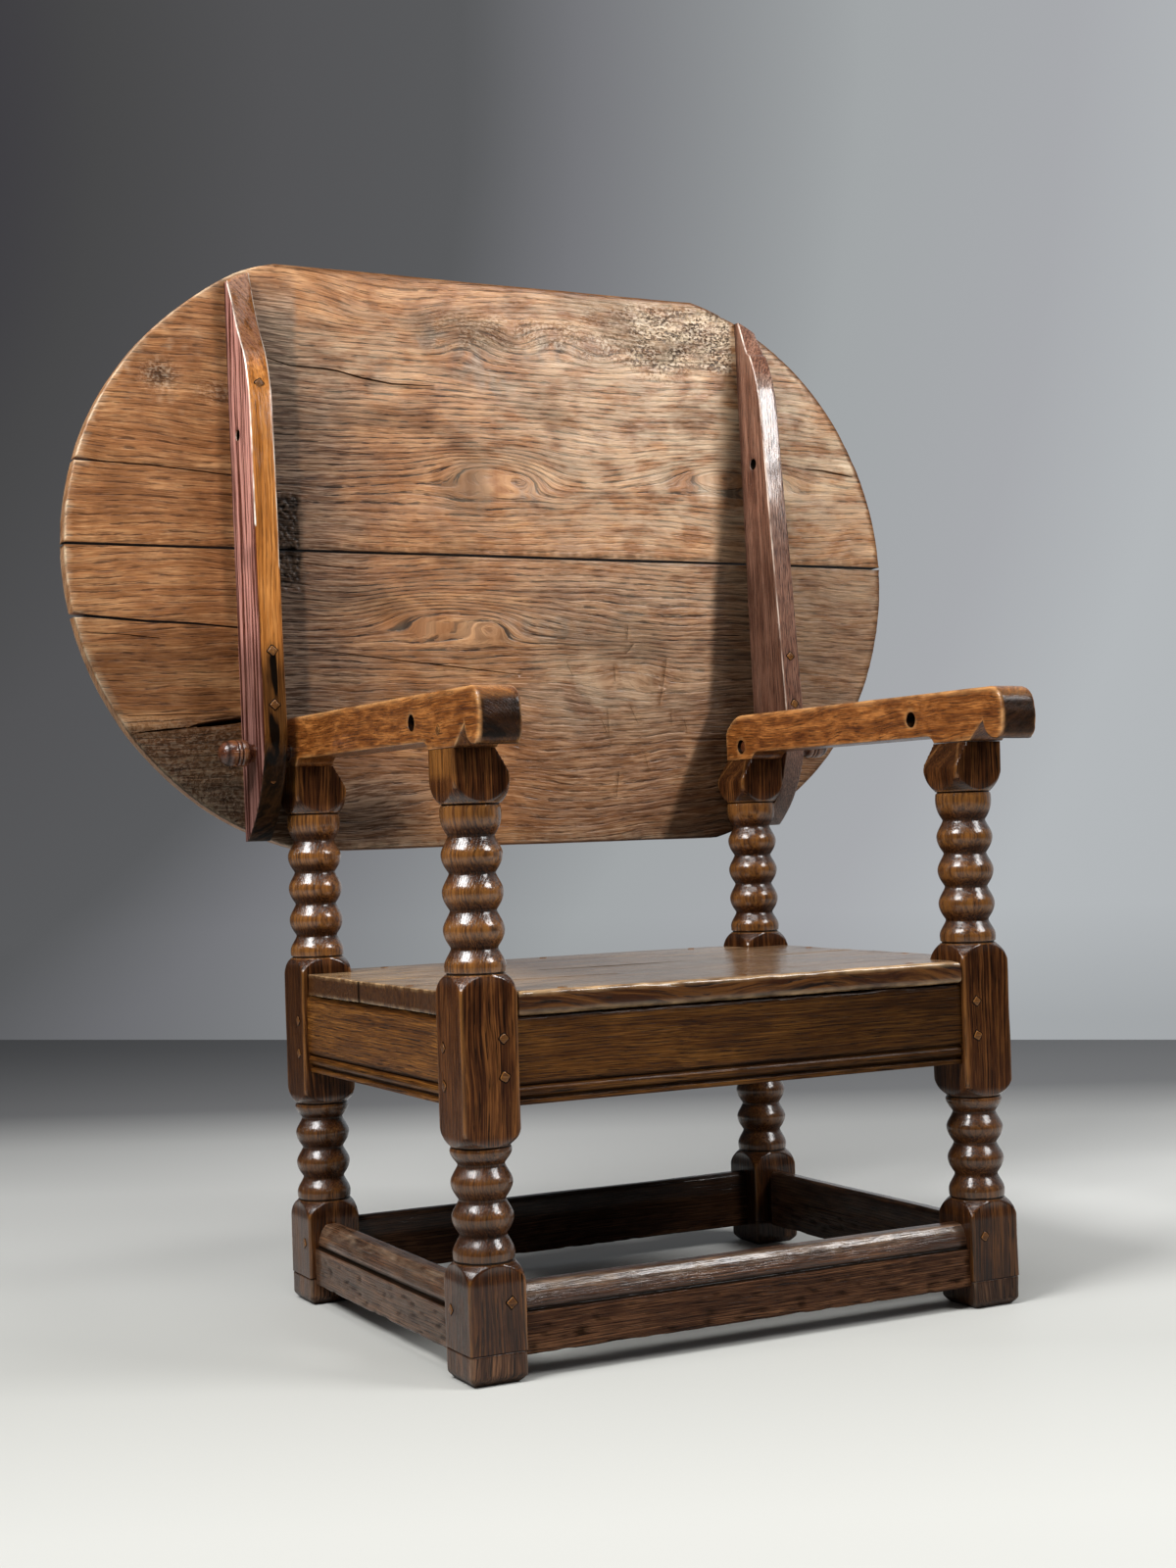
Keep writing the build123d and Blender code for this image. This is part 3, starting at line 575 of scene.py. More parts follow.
finishSpecs = {
    # Oak turned on a pole lathe and waxed: long soft lights on the bobbins, grain in short dark dashes.
    "turnedOak": {"patch": (60, 2.8)},
    # Oak shaped with a spokeshave and polished by hands: a warm orange brown with pale edges, rubbed and
    # partly painted highlights.
    "handledOak": {
        "colours": ("#421d0a", "#7a461d", "#b2733b"), "worn": "#dca468", "coat": 0.75, "shine": 0.15,
        "grime": "#140a04", "fine": (30, 1.7), "mottle": (34, 14), "streak": (90, 8),
        "shares": (0.3, 0.2, 0.36, 0.14), "rings": 0.25, "pores": 0.75, "rough": 0.34, "coatRough": 0.12,
        "wornAndGlint": 0.6,
    },
    # Planed and moulded oak with little wax left on it: an even brown with a low sheen.
    "planedOak": {
        "colours": ("#331a0a", "#613a16", "#96642d"), "rough": 0.4, "coat": 0.35, "shine": 0.1,
        "coatRough": 0.16,
    },
    # Oak boards polished by sitters: a grey-brown mirror at a low angle, with dark sawn edges and a painted
    # sheen on the left of the top.
    "seatOak": {
        "colours": ("#4e351f", "#846549", "#b29270"), "rough": 0.24, "shine": 0.12, "coat": 0.7,
        "coatRough": 0.11, "depth": 0.16, "worn": "#e4bd8c", "tint": ("#3a1f10", "#66401f"),
    },
    # Adzed oak, dry and barely waxed: matt and furrowed, bleached in places and with a painted sheen, with
    # pits where it was eaten.
    # Its rings are 2 to 4 mm wide and are drawn 7.2 mm wide so that they show.
    "adzedOak": {
        "colours": ("#6e4220", "#97643c", "#c29062"), "poreColour": "#24130a", "ring": 7.2, "wobble": 0.5,
        "pore": (26, 1.3), "fine": (34, 1.5), "line": 0.42, "streak": (190, 7), "mottle": (64, 38),
        "shares": (0.34, 0.12, 0.36, 0.18), "spread": 0.13, "rings": 1.0, "pores": 0.65, "rough": 0.42,
        "shine": 0.1, "coat": 0.4, "coatRough": 0.25, "worn": "#e6cfae", "wornAndGlint": 0.6, "depth": 0.7,
        "furrow": 0.5, "tooled": 0.8, "tint": ("#45352a", "#9a8674"), "pitted": ("#2a1d13", "#dccab0"),
        "crumb": (4.6, 3.0),
    },
    # Planed oak stained red on one face: golden in front, streaked pink and dark red outside, with a
    # near-white painted highlight along its front arrises.
    "stainedOak": {
        "colours": ("#6a3b10", "#9e622a", "#c28344"), "worn": "#fdf2e2", "wornAndGlint": 1.0,
        "tint": ("#4a1e17", "#cc9286"), "ring": 5.0, "rings": 0.15, "streak": (300, 9), "tintStreak": 0.8,
        "fine": (120, 2.0), "pores": 0.5, "shine": 0.1, "coat": 0.6,
    },
    # The same oak darkened by smoke: a cool brown, with a pale grey painted sheen on its front face and a
    # painted highlight along its front edge.
    "smokedOak": {
        "colours": ("#40231a", "#7c5442", "#a27762"), "worn": "#e6cfbe", "wornAndGlint": 0.95,
        "tint": ("#4c382b", "#b09a8a"), "fine": (60, 1.6),
    },
    # Oak worn by feet and damp floors: rough and dark below, partly a painted shade, and bright along its
    # top edge, polished and partly a painted highlight.
    "weatheredOak": {
        "colours": ("#1f1109", "#452a1a", "#785338"), "rough": 0.38, "worn": "#b59a80", "coat": 0.9,
        "coatRough": 0.11, "depth": 0.5,
    },
    # Turned pear or plum wood, waxed: close-grained and smooth, a red brown without open pores.
    "turnedFruitwood": {
        "colours": ("#2a1109", "#48230f", "#6d3b1e"), "ring": 2.0, "rings": 0.1, "pores": 0.2,
        "worn": "#a86e40",
    },
    # Riven oak pegs seen on their end grain: small, matt, and a little paler at the rim.
    "rivenOak": {
        "colours": ("#3a200e", "#5a3718", "#7e5428"), "rings": 0.1, "pores": 0.3, "shine": 0.1, "coat": 0.3,
    },
}
finishes = {name: oak(name, {**waxedOak, **spec}) for name, spec in finishSpecs.items()}
print("finishes made:", len(finishes))


postShape = {
    "side": 67.5, "axisX": 326.75, "axisY": 246.75, "head": 676.5,
    "bobbin": 33.8, "neck": 25.7, "corner": 48.0, "under": 0.72, "shoulder": 0.46, "cove": 1.5,
    "blocks": ((34.0, 104.0), (272.5, 410.0), (646.0, 676.5)),
    "turnings": ((127.0, 252.0, (156.0, 193.4, 230.8)), (433.5, 618.0, (462.0, 502.2, 542.4, 582.5))),
    "slope": 16.5, "slopeHeight": 28.0,
    "pommel": (0.76, 0.72),  # how full the gouged shoulder is, outwards and upwards
    "groove": [(0.6, 0.3), (1.2, 2.4), (2.2, 2.3), (3.0, 0.8)],  # at each end of a turning: along, deep
}


def curveRows(start, end, startSlope, endSlope, count):
    # Rows of (height, radius) on a smooth curve between two of them; the slopes are radius against height.
    (z0, r0), (z1, r1) = start, end
    long = z1 - z0
    out = []
    for k in range(count):
        t = k / count
        h1, h2 = 2 * t ** 3 - 3 * t ** 2 + 1, t ** 3 - 2 * t ** 2 + t
        h3, h4 = -2 * t ** 3 + 3 * t ** 2, t ** 3 - t ** 2
        out.append((z0 + long * t, r0 * h1 + r1 * h3 + long * (startSlope * h2 + endSlope * h4)))
    return out


def pommelRows(turning, block):
    # From the turning out to the corners of the block, as the gouge rounds them.
    low, high, count = postShape["bobbin"] - 0.2, postShape["corner"], 14
    swell, rise = postShape["pommel"]
    out = []
    for k in range(count + 1):
        t = k / count
        radius = low * (1 - t) ** 2 + 2 * t * (1 - t) * (low + swell * (high - low)) + high * t * t
        z = turning + (block - turning) * (rise * t * (1 - t) + t * t)
        out.append((z, radius))
    return out


def turningRows(low, high, necks):
    bobbin, neck, groove = postShape["bobbin"], postShape["neck"], postShape["groove"]
    crestLow = necks[0] - 0.66 * (necks[0] - low)
    crestHigh = necks[-1] + 0.7 * (high - necks[-1])
    rows = [(low + along, bobbin - deep) for along, deep in groove]
    rows += curveRows((low + 4.0, bobbin - 0.4), (crestLow, bobbin), 0.05, 0, 5)
    under, shoulder, cove = (postShape[key] for key in ("under", "shoulder", "cove"))
    lip = neck + 0.28 * cove
    rows += curveRows((crestLow, bobbin), (necks[0] - cove, lip), 0, -shoulder, 8)
    for start, end in zip(necks, necks[1:]):
        middle = (start + end) / 2
        rows += [(start - cove, lip), (start, neck)]
        rows += curveRows((start + cove, lip), (middle, bobbin), under, 0, 8)
        rows += curveRows((middle, bobbin), (end - cove, lip), 0, -shoulder, 8)
    rows += [(necks[-1] - cove, lip), (necks[-1], neck)]
    rows += curveRows((necks[-1] + cove, lip), (crestHigh, bobbin), under, 0, 8)
    rows += curveRows((crestHigh, bobbin), (high - 4.0, bobbin - 0.4), 0, -0.05, 5)
    return rows + [(high - along, bobbin - deep) for along, deep in reversed(groove)]


def postRows():
    rows = []
    blocks, turnings, corner = postShape["blocks"], postShape["turnings"], postShape["corner"]
    for number, (low, high) in enumerate(blocks):
        if number > 0:
            rows += pommelRows(turnings[number - 1][1], low)[:-1]
        steps = max(2, round((high - low) / 5))
        rows += [(low + (high - low) * k / steps, corner) for k in range(steps + 1)]
        if number < 2:
            rows += pommelRows(turnings[number][0], high)[::-1][1:]
            rows += turningRows(*turnings[number])
    return rows


def underside(z):  # 1 where a bobbin's face looks down
    for _, high, necks in postShape["turnings"]:
        for start, end in zip(necks, [*necks[1:], high]):
            if start <= z <= end:
                return fade(0.42, 0.2, (z - start) / (end - start))
    return 0.0


def makePost(corner, sideX, sideY, seed):
    axisX, axisY = frameX + sideX * postShape["axisX"], frameY + sideY * postShape["axisY"]
    half = postShape["side"] / 2
    rows = postRows()
    angles = squareAngles(28)
    slopeFoot = postShape["head"] - postShape["slopeHeight"]
    ends = [end for turning in postShape["turnings"] for end in turning[:2]]

    def radiusAt(angle, row):
        z, turned = row
        easing = 2.4 + 1.3 * bumps(math.cos(angle) * 2, math.sin(angle) * 2 + seed, z / 40)
        radius = softMin(turned, squareRadius(angle, half, easing), 0.6)
        inward = -sideX * math.cos(angle)
        if z > slopeFoot and inward > 0.05:
            limit = half - postShape["slope"] * (z - slopeFoot) / postShape["slopeHeight"]
            radius = softMin(radius, limit / inward, 1.5)
        return radius

    def markAt(angle, row, radius):
        z, turned = row
        onBobbin = turned < postShape["bobbin"] + 0.3
        front, right, rear = sideY < 0, max(0, sideX), max(0, sideY)
        head = fade(640, 655, z)
        # The blocks' arrises are paler: worn, and partly a painted highlight.
        atCorner = fade(0.991, 0.999, abs(math.sin(2 * angle))) if turned > 44 else 0.0
        groove = fade(3.4, 2.0, min(abs(z - end) for end in ends)) if turned < 33.4 else 0.0
        crest = 0.9 * fade(29.5, 33.2, turned) * (0.45 + 0.55 * fade(250, 430, z)) if onBobbin else 0.0
        # A painted highlight: the left faces of the left posts' heads are paler, where the light from the
        # left falls.
        litHeadFace = 0.9 * fade(640, 652, z) * fade(0.6, 0.9, -math.cos(angle)) if sideX < 0 else 0.0
        # The undersides of the bobbins are marked dull: most of the coat comes off there, so that they
        # reflect little and look dark, a painted shade. The blocks' faces are dull too, less so at their
        # arrises and on the lowest block.
        dull = underside(z) if onBobbin else fade(37, 44, turned) * (1.0 - 0.6 * atCorner)
        dull *= 1.0 - 0.5 * fade(110, 104, z)
        # Darker: the necks, the grooves and the turnings below the middle block. Painted shade: the right
        # posts and their heads, the rear posts' blocks and the undersides of their bobbins, and the front
        # faces of the front posts' heads, partly dark wood and partly a painted shadow under the arms'
        # noses.
        dark = [0.5 * fade(28.6, 26.0, turned), 0.9 * groove, 0.22 * fade(272, 240, z), 0.45 * head * right,
                0.35 * head * fade(0.3, 0.9, -math.sin(angle)) * front, 0.3 * dull * rear,
                (0.27 + 0.2 * fade(112, 104, z)) * right]
        return [max(0.8 * atCorner, crest, litHeadFace), max(dark), dull]

    shape = ringed(rows, angles, radiusAt, lambda x, y, z: (axisX + x, axisY + y, z), markAt)
    lie = {"axes": (2, 0, 1), "heart": (axisX + 70 * sideX, axisY + 55), "seed": seed, "sway": 6,
           "ripple": 1.2}
    makePiece("post" + corner.title().replace("_", ""), shape, {
        "lie": lie, "finish": finishes["turnedOak"], "body": "frame", "uneven": 0.4, "sharp": 40,
        "nodes": ["post_" + corner], "slot": "post_oak"})


tipShape = {  # a foot spliced on: height, and how far its faces lie inside the post's
    "worn": [(0.0, 7.5), (1.0, 6.2), (3.5, 3.6), (6.5, 1.2), (8.5, 0.4)],
    "plain": [(z, 0.1) for z in (12, 16, 20, 24, 28, 31)],
    "joint": [(33.0, 0.4), (33.8, 1.6)],
}


def makeTip(corner, sideX, sideY, seed):
    axisX, axisY = frameX + sideX * postShape["axisX"], frameY + sideY * postShape["axisY"]
    half = postShape["side"] / 2
    rows = [(z, half - inset) for part in ("worn", "plain", "joint") for z, inset in tipShape[part]]
    angles = squareAngles(20)

    def radiusAt(angle, row):
        chip = bumps(math.cos(angle) * 3, math.sin(angle) * 3 + seed, row[0] / 30)
        return squareRadius(angle, row[1], 3.4 + 1.6 * chip) - 0.5 * max(0, chip)

    def markAt(angle, row, radius):
        low = fade(14, 0, row[0])
        shade = max(0.75 * low, 0.9 * fade(32.5, 33.8, row[0]), 0.08 + 0.4 * max(0, sideX))
        return [0.5 * fade(0.985, 0.998, abs(math.sin(2 * angle))), shade, 0.6]

    shape = ringed(rows, angles, radiusAt, lambda x, y, z: (axisX + x, axisY + y, z), markAt)
    lie = {"axes": (2, 0, 1), "heart": (axisX - 60 * sideX, axisY + 70), "seed": seed + 5}
    makePiece("footTip" + corner.title().replace("_", ""), shape, {
        "lie": lie, "finish": finishes["weatheredOak"], "body": "frame", "uneven": 0.6,
        "nodes": ["foot_tip_" + corner], "slot": "weathered_oak"})


corners = {"front_left": (-1, -1), "front_right": (1, -1), "rear_left": (-1, 1), "rear_right": (1, 1)}
for number, (corner, sides) in enumerate(corners.items(), 1):
    makePost(corner, *sides, number)
    makeTip(corner, *sides, number)
print("posts and feet made")


armShape = {
    "outer": 360.5, "width": 51.0, "top": 739.7, "under": 676.5, "innerY": 213.0, "halfDepth": 280.5,
    "hollow": 9.0, "topEase": 4.0, "noseEase": 4.8, "underEase": 1.8, "notch": [(-312, 699), (-285, 676.5)],
    "nose": [  # arcs from the top round to the notch: start, middle, end, points
        ((-322, 739.7), (-342.5, 733.2), (-350.5, 716), 9), ((-350.5, 716), (-352, 704), (-350.5, 692), 6),
        ((-350.5, 692), (-346, 681), (-336, 677), 6), ((-336, 677), (-322, 681.5), (-312, 699), 8),
    ],
    "holes": [{"at": (-167.862, 709.0), "radius": 9.0, "lip": 0.9},  # for the lock, then for the pivot
              {"at": (240.138, 695.0), "radius": 9.4, "lip": 0.7}],
}


def armOutline():
    a = armShape
    top, under, back, inner = a["top"], a["under"], a["halfDepth"], a["innerY"]
    pivotY, pivotZ = a["holes"][1]["at"]
    swing = top - pivotZ  # the rear corner is round, so that the table top clears it
    backTop = pivotZ + math.sqrt(swing ** 2 - (back - pivotY) ** 2)
    turn = math.radians(22)
    swingMiddle = (pivotY + swing * math.sin(turn), pivotZ + swing * math.cos(turn))
    hollow = under + a["hollow"]
    path = [
        *arc((back, backTop), swingMiddle, (pivotY, top), 10),
        (pivotY, top),
        *(spot for curve in a["nose"] for spot in arc(*curve)),
        *a["notch"],
        *arc((-inner, under), (-inner + 5, hollow - 3), (-inner + 16, hollow), 5),
        (-inner + 16, hollow),
        *arc((inner - 16, hollow), (inner - 5, hollow - 3), (inner, under), 5),
        (inner, under),
        (back, under),
    ]
    eased = []
    for y, z in path:
        if y < -340 and z < 725:
            ease = a["noseEase"]
        elif z > 725:
            ease = a["topEase"]
        else:
            ease = a["underEase"]
        eased.append((y, z, ease))
    return sampled(eased, 4.0)


def makeArm(name, side, seed):
    outer, inner = side * armShape["outer"], side * (armShape["outer"] - armShape["width"])
    span = tuple(sorted((outer + frameX, inner + frameX)))
    shape = plank(armOutline(), span, lambda u, v, w: (w, u + frameY, v), rowStep=4.0,
                  holes=armShape["holes"])

    def relief(spot, normal):
        x, y, z = spot
        nose = fade(-325, -349, y - frameY)
        under = fade(0.3, 0.9, -normal.z)
        smudge = 0.5 + 0.5 * noise.noise(Vector((x / 30, y / 40, z / 25)) + Vector((seed * 9.0, 0, 0)))
        facing = fade(0.4, 0.9, -normal.y) * nose
        # Paler: the top edges and the top face, worn and partly a painted highlight, and the nose's edges,
        # a painted highlight.
        noseEdgeGlint = nose * fade(0.4, 0.55, abs(normal.x)) * fade(0.4, 0.55, -normal.y)
        wornAndGlint = max(0.5 * fade(0.25, 0.6, normal.z) * fade(0.25, 0.6, abs(normal.x) + abs(normal.y)),
                     0.5 * fade(0.8, 0.97, normal.z) * (0.6 + 0.8 * smudge),
                     0.9 * noseEdgeGlint * (0.5 + smudge))
        # Darker: the nose's end grain; and painted shade on the downward faces and in the notch under the
        # nose.
        notch = fade(-262, -290, y - frameY) * fade(703, 699, z) * fade(0.1, 0.5, normal.y - normal.z)
        dark = max(0.95 * facing * (0.85 + 0.25 * smudge) * (1 - 0.8 * wornAndGlint), 0.4 * under, 0.85 * notch)
        return 0.0, 0.8 * wornAndGlint, dark, 0.0

    lie = {"axes": (1, 0, 2), "heart": (outer + frameX + side * 35, 640.0), "seed": seed, "sway": 12,
           "ripple": 3.5}
    makePiece("arm" + name, shape, {
        "lie": lie, "finish": finishes["handledOak"], "body": "frame", "uneven": 0.7, "relief": relief,
        "nodes": ["arm_" + name.lower()], "slot": "arm_oak", "sharp": 60})


makeArm("Left", -1, 11)
makeArm("Right", 1, 12)
print("arms made")


def railWear(spot, normal, sign, along, face):
    z = spot.z
    inset = face - sign * ((spot.y - frameY) if along else (spot.x - frameX))
    run = spot.x if along else spot.y
    hollow = 0.8 if 298 < z < 315.5 and 3.0 < inset < 9 else 0.0
    # Darker just above the moulding's step and along the lowest lip.
    mouldingDark = 0.5 * fade(320, 316.8, z) * fade(1.5, 0.2, inset) + 0.3 * fade(298, 292, z)
    # The gap under the seat is cut in and painted dark, a painted shade.
    gap = fade(383.5, 387.5, z) * fade(7, 2, inset) * (0.75 + 0.5 * bumps(run / 60, sign * 3.0, 1.0))
    shade = 0.36 + 0.33 * fade(-200, 250, spot.x) if along else 0.0
    # The downward faces are darker: painted shade.
    dark = max(hollow, mouldingDark, 0.3 * fade(0.5, 1, -normal.z), min(1.0, 1.3 * gap), shade)
    return -2.4 * gap, 0.0, dark, 0.45


def stretcherWear(spot, normal, sign, along, face):
    x, y, z = spot
    inset = face - sign * ((y - frameY) if along else (x - frameX))
    run = x if along else y
    worn = fade(72, 90, z) * fade(20, 4, inset)
    wave = bumps(run / 90, z / 60, face / 37 + sign * 5)
    rough = bumps(run / 20, z / 5, face / 11 + sign)
    lift = -worn * (1.2 + 1.6 * wave) - 1.1 * fade(72, 60, z) * max(0, rough) * 1.6
    groove = fade(3.0, 1.0, abs(z - 74.0)) * fade(9, 5, inset)
    # Paler along the top's front edge: worn by feet, and partly a painted highlight.
    shine = fade(84, 95, z) * fade(24, 14, inset) * (0.45 + 0.5 * bumps(run / 16, inset / 3, 2.0))
    # Painted shade: the downward faces and the rear stretcher are darker. The groove and the pitted lower
    # face are dark.
    dark = max(0.97 * groove, 0.8 * fade(0.15, 0.6, rough) * fade(72, 60, z), 0.4 * fade(0.5, 1, -normal.z),
               0.6 if along and sign > 0 else 0.12 * fade(72, 66, z))
    # The side stretchers are a little paler: painted light.
    return lift - 1.4 * groove, max(0.15 * (not along), shine), dark, (0.6 + 0.4 * along) * fade(80, 70, z)


railShape = {
    "piece": "seatRail", "node": "seat_rail_", "slot": "rail_oak", "finish": finishes["planedOak"],
    "seed": 21, "uneven": 0.35, "sectionStep": 4.0, "relief": railWear,
    "halfX": 293.0, "halfY": 213.0, "faceX": 354.5, "faceY": 274.5, "into": 3.0,
    "section": [(0, 388), (27, 388), (27, 292), (2.5, 292), (2.5, 297.5), (6.5, 297.5), (6.5, 300),
                (3.2, 301.4), (0.9, 304), (0.2, 307), (0.9, 310), (3.0, 312.4), (4.6, 313.2),
                (4.6, 316.5), (0, 316.5)],
    "easing": [1.6, 1, 1, 1.2, 0.8, 0.5, 0.5, 0, 0, 0, 0, 0, 0.4, 0.4, 1.2],
}
stretcherShape = {
    "piece": "stretcher", "node": "stretcher_", "slot": "weathered_oak", "finish": finishes["weatheredOak"],
    "seed": 31, "uneven": 0.8, "sectionStep": 3.2, "relief": stretcherWear,
    "halfX": 293.0, "halfY": 213.0, "faceX": 353.5, "faceY": 273.5, "into": 3.0,
    "section": [(0, 26), (0, 72), (4.2, 73.8), (5.8, 84), (9, 93), (15, 100), (31, 101), (36, 96),
                (36, 26)],
    "easing": [2.5, 1.5, 1.0, 3, 4, 4, 4, 4, 2.5],
}


def makeRail(side, number, spec):
    # A rail between two posts: side is front, rear, left or right.
    section = sampled(rounded(spec["section"], spec["easing"], 3), spec["sectionStep"])
    along = side in ("front", "rear")
    reach = (spec["halfX"] if along else spec["halfY"]) + spec["into"]
    middle = frameX if along else frameY
    face = spec["faceY"] if along else spec["faceX"]
    sign = -1 if side in ("front", "left") else 1

    def turn(u, v, w):
        across = sign * (face - u)
        return (w, frameY + across, v) if along else (frameX + across, w, v)

    shape = plank(turnedLeft(section), (middle - reach, middle + reach), turn, edge=0.2, step=6.0,
                  rowStep=4.5)
    lie = {"axes": (0, 1, 2) if along else (1, 0, 2), "sway": 5, "ripple": 1.2,
           "heart": ((frameY if along else frameX) + sign * (face + 60), spec["section"][0][1] - 110),
           "seed": spec["seed"] + number}
    makePiece(spec["piece"] + side.capitalize(), shape, {
        "lie": lie, "finish": spec["finish"], "body": "frame", "uneven": spec["uneven"], "sharp": 45,
        "relief": lambda spot, normal: spec["relief"](spot, normal, sign, along, face),
        "nodes": [spec["node"] + side], "slot": spec["slot"]})


for number, side in enumerate(("front", "rear", "left", "right")):
    makeRail(side, number, railShape)
    makeRail(side, number, stretcherShape)
print("rails and stretchers made")


seatShape = {
    "endX": 352.5, "edgeY": 279.5, "innerX": 291.5, "innerY": 211.5, "low": 388.0, "high": 415.0,
    "joint": 38.0, "gap": 1.6,
    # cracks in the top face: line, width, depth
    "frontCracks": [([(-330, -95), (-270, -98), (-180, -92), (-60, -97)], 1.2, 4),
                    ([(120, -180), (220, -176), (310, -182)], 1.0, 3)],
    "rearCracks": [([(-336, 150), (-250, 146), (-120, 152)], 1.2, 4)],
}


def seatRelief(spot, normal):
    x, y, z = spot[0] - frameX, spot[1] - frameY, spot[2]
    front, onTop = fade(-262, -277, y), fade(0.5, 1, normal.z)
    dish = 1.2 * onTop * math.cos(x / 352 * 1.5) * math.cos(y / 280 * 1.5)
    gnaw = bumps(x / 34, 5.0, z / 20) + 0.6 * bumps(x / 9, 8.0, z / 9)
    chips = front * fade(404, 413, z) * max(0.0, gnaw)
    shadowGaps = fade(394, 389, z) * fade(-272, -279, y) * (0.8 + 0.6 * gnaw)
    edge = fade(0.8, 0.3, normal.z)
    glint = 0.9 * front * fade(0.3, 0.5, normal.z) * fade(0.98, 0.85, normal.z) * fade(-0.1, 0.3, gnaw)
    # Darker: the ends of the top and the joint; the gap under the front edge is cut in and painted dark, a
    # painted shade.
    dark = max(0.35 * fade(300, 345, abs(x)) * onTop * (0.5 + bumps(x / 40, y / 30, 0)), 0.8 * shadowGaps,
               0.9 * fade(3.2, 1.2, abs(y - seatShape["joint"])), 0.2 * edge)
    # Paler: a painted glint on the front arris, and a painted sheen on the left part of the top.
    return -dish - 2.6 * chips - 1.6 * shadowGaps, max(glint, fade(-60, -300, x) * onTop), dark, edge


def makeSeatBoard(name, corners, seed, cracks):
    outline = sampled([(x + frameX, y + frameY, ease) for x, y, ease in corners], 6.0)
    shape = plank(outline, (seatShape["low"], seatShape["high"]), lambda u, v, w: (u, v, w), step=7.0,
                  grooves=[{"line": line, "width": width, "depth": depth, "side": 1}
                           for line, width, depth in cracks])
    lie = {"axes": (0, 2, 1), "heart": (seatShape["low"] - 70, seed * 10 - 200 + frameY), "seed": seed,
           "sway": 10}
    makePiece("seatBoard" + name, shape, {
        "lie": lie, "finish": finishes["seatOak"], "body": "frame", "uneven": 0.6, "relief": seatRelief,
        "nodes": ["seat_board_" + name.lower()], "slot": "seat_oak", "sharp": 50})


def makeSeat():
    s = seatShape
    endX, edge, inX, inY = s["endX"], s["edgeY"], s["innerX"], s["innerY"]
    frontJoint, rearJoint = s["joint"] - s["gap"] / 2, s["joint"] + s["gap"] / 2
    makeSeatBoard("Front", [
        (-inX, -edge, 4.5), (inX, -edge, 4.5), (inX, -inY, 1), (endX, -inY, 1.5), (endX, frontJoint, 2.4),
        (-endX, frontJoint, 2.4), (-endX, -inY, 1.5), (-inX, -inY, 1)], 41, s["frontCracks"])
    makeSeatBoard("Rear", [
        (-endX, rearJoint, 2.4), (endX, rearJoint, 2.4), (endX, inY, 1.5), (inX, inY, 1), (inX, edge, 4),
        (-inX, edge, 4), (-inX, inY, 1), (-endX, inY, 1.5)], 42, s["rearCracks"])


makeSeat()
print("seat made")


# Drawn upright: x, depth behind the pivot, height above the pivot. The underside faces the sitter.
topShape = {
    "radius": 397.0, "centreX": 212.5, "middle": 260.75, "low": -125.0, "high": 646.5,
    "split": 268.0, "gap": 2.8, "under": 45.0, "face": 70.0, "ease": 3.2, "jointEase": 0.8,
    "fullness": (6.0, 68.0, 9.0),  # the left end's upper corner stands out: by how much, angle, spread
    # splits in from the left end: x, height and width along each
    "upperNotch": [(-603, 375.5, 1.8), (-563, 373, 1.6), (-501, 371, 1.3), (-456, 368, 1.1),
                   (-381, 362, 0.7)],
    "lowerNotch": [(-601, 179, 3.6), (-583, 177.5, 3.0), (-508, 172, 2.3), (-445, 170, 1.8),
                   (-380, 164.5, 1.2)],
}


def notchPoints(line):
    # Down the upper lip of a split and back out along the lower one.
    ease = 0.5
    upper = [(x, h + wide / 2, ease) for x, h, wide in line]
    lower = [(x, h - wide / 2, ease) for x, h, wide in line]
    return upper + lower[::-1]


def endArc(side, low, high):
    # Points of a round end from one height to the other, in the order asked for.
    t = topShape
    full, fullAngle, spread = t["fullness"]
    angles = [math.asin(max(-1, min(1, (h - t["middle"]) / t["radius"]))) for h in (low, high)]
    count = max(2, round(abs(angles[1] - angles[0]) * t["radius"] / 4.5))
    out = []
    for k in range(count + 1):
        angle = angles[0] + (angles[1] - angles[0]) * k / count
        reach = t["radius"]
        if side < 0:
            reach += full * math.exp(-((math.degrees(angle) - fullAngle) / spread) ** 2)
        height = min(t["middle"] + reach * math.sin(angle), t["high"])
        out.append((side * (t["centreX"] + reach * math.cos(angle)), height, t["ease"]))
    return out


def leftEnd(high, low, notch):
    _, height, wide = notch[0]
    mouth = wide / 2 + 1.0
    return endArc(-1, high, height + mouth) + notchPoints(notch)[1:-1] + endArc(-1, height - mouth, low)


topScratches = [
    [(179, 179), (176, 153)], [(78, 128), (89, 103)], [(154, 124), (154, 95)],
    [(239, 136), (230, 91), (222, 61)], [(140, 64), (140, 13)], [(127, 50), (143, 9)],
    [(173, 69), (188, 35)], [(241, 61), (241, 33)], [(261, 47), (266, 20)], [(154, -25), (147, -66)],
    [(195, -3), (201, -33)], [(188, 152), (172, 135)], [(222, 92), (236, 88)],
]
upperCracks = [
    {"line": [(-339, 521), (-306, 512), (-259, 511), (-238, 509), (-204, 502), (-162, 497), (-98, 498)],
     "width": 1.8, "depth": 5},
    {"line": [(485, 413), (520, 411), (572, 404)], "width": 3.0, "depth": 4, "dark": 0.6},
    {"line": [(-300, 398), (-252, 402), (-190, 400)], "width": 1.0, "depth": 1.5, "dark": 0.7},
]
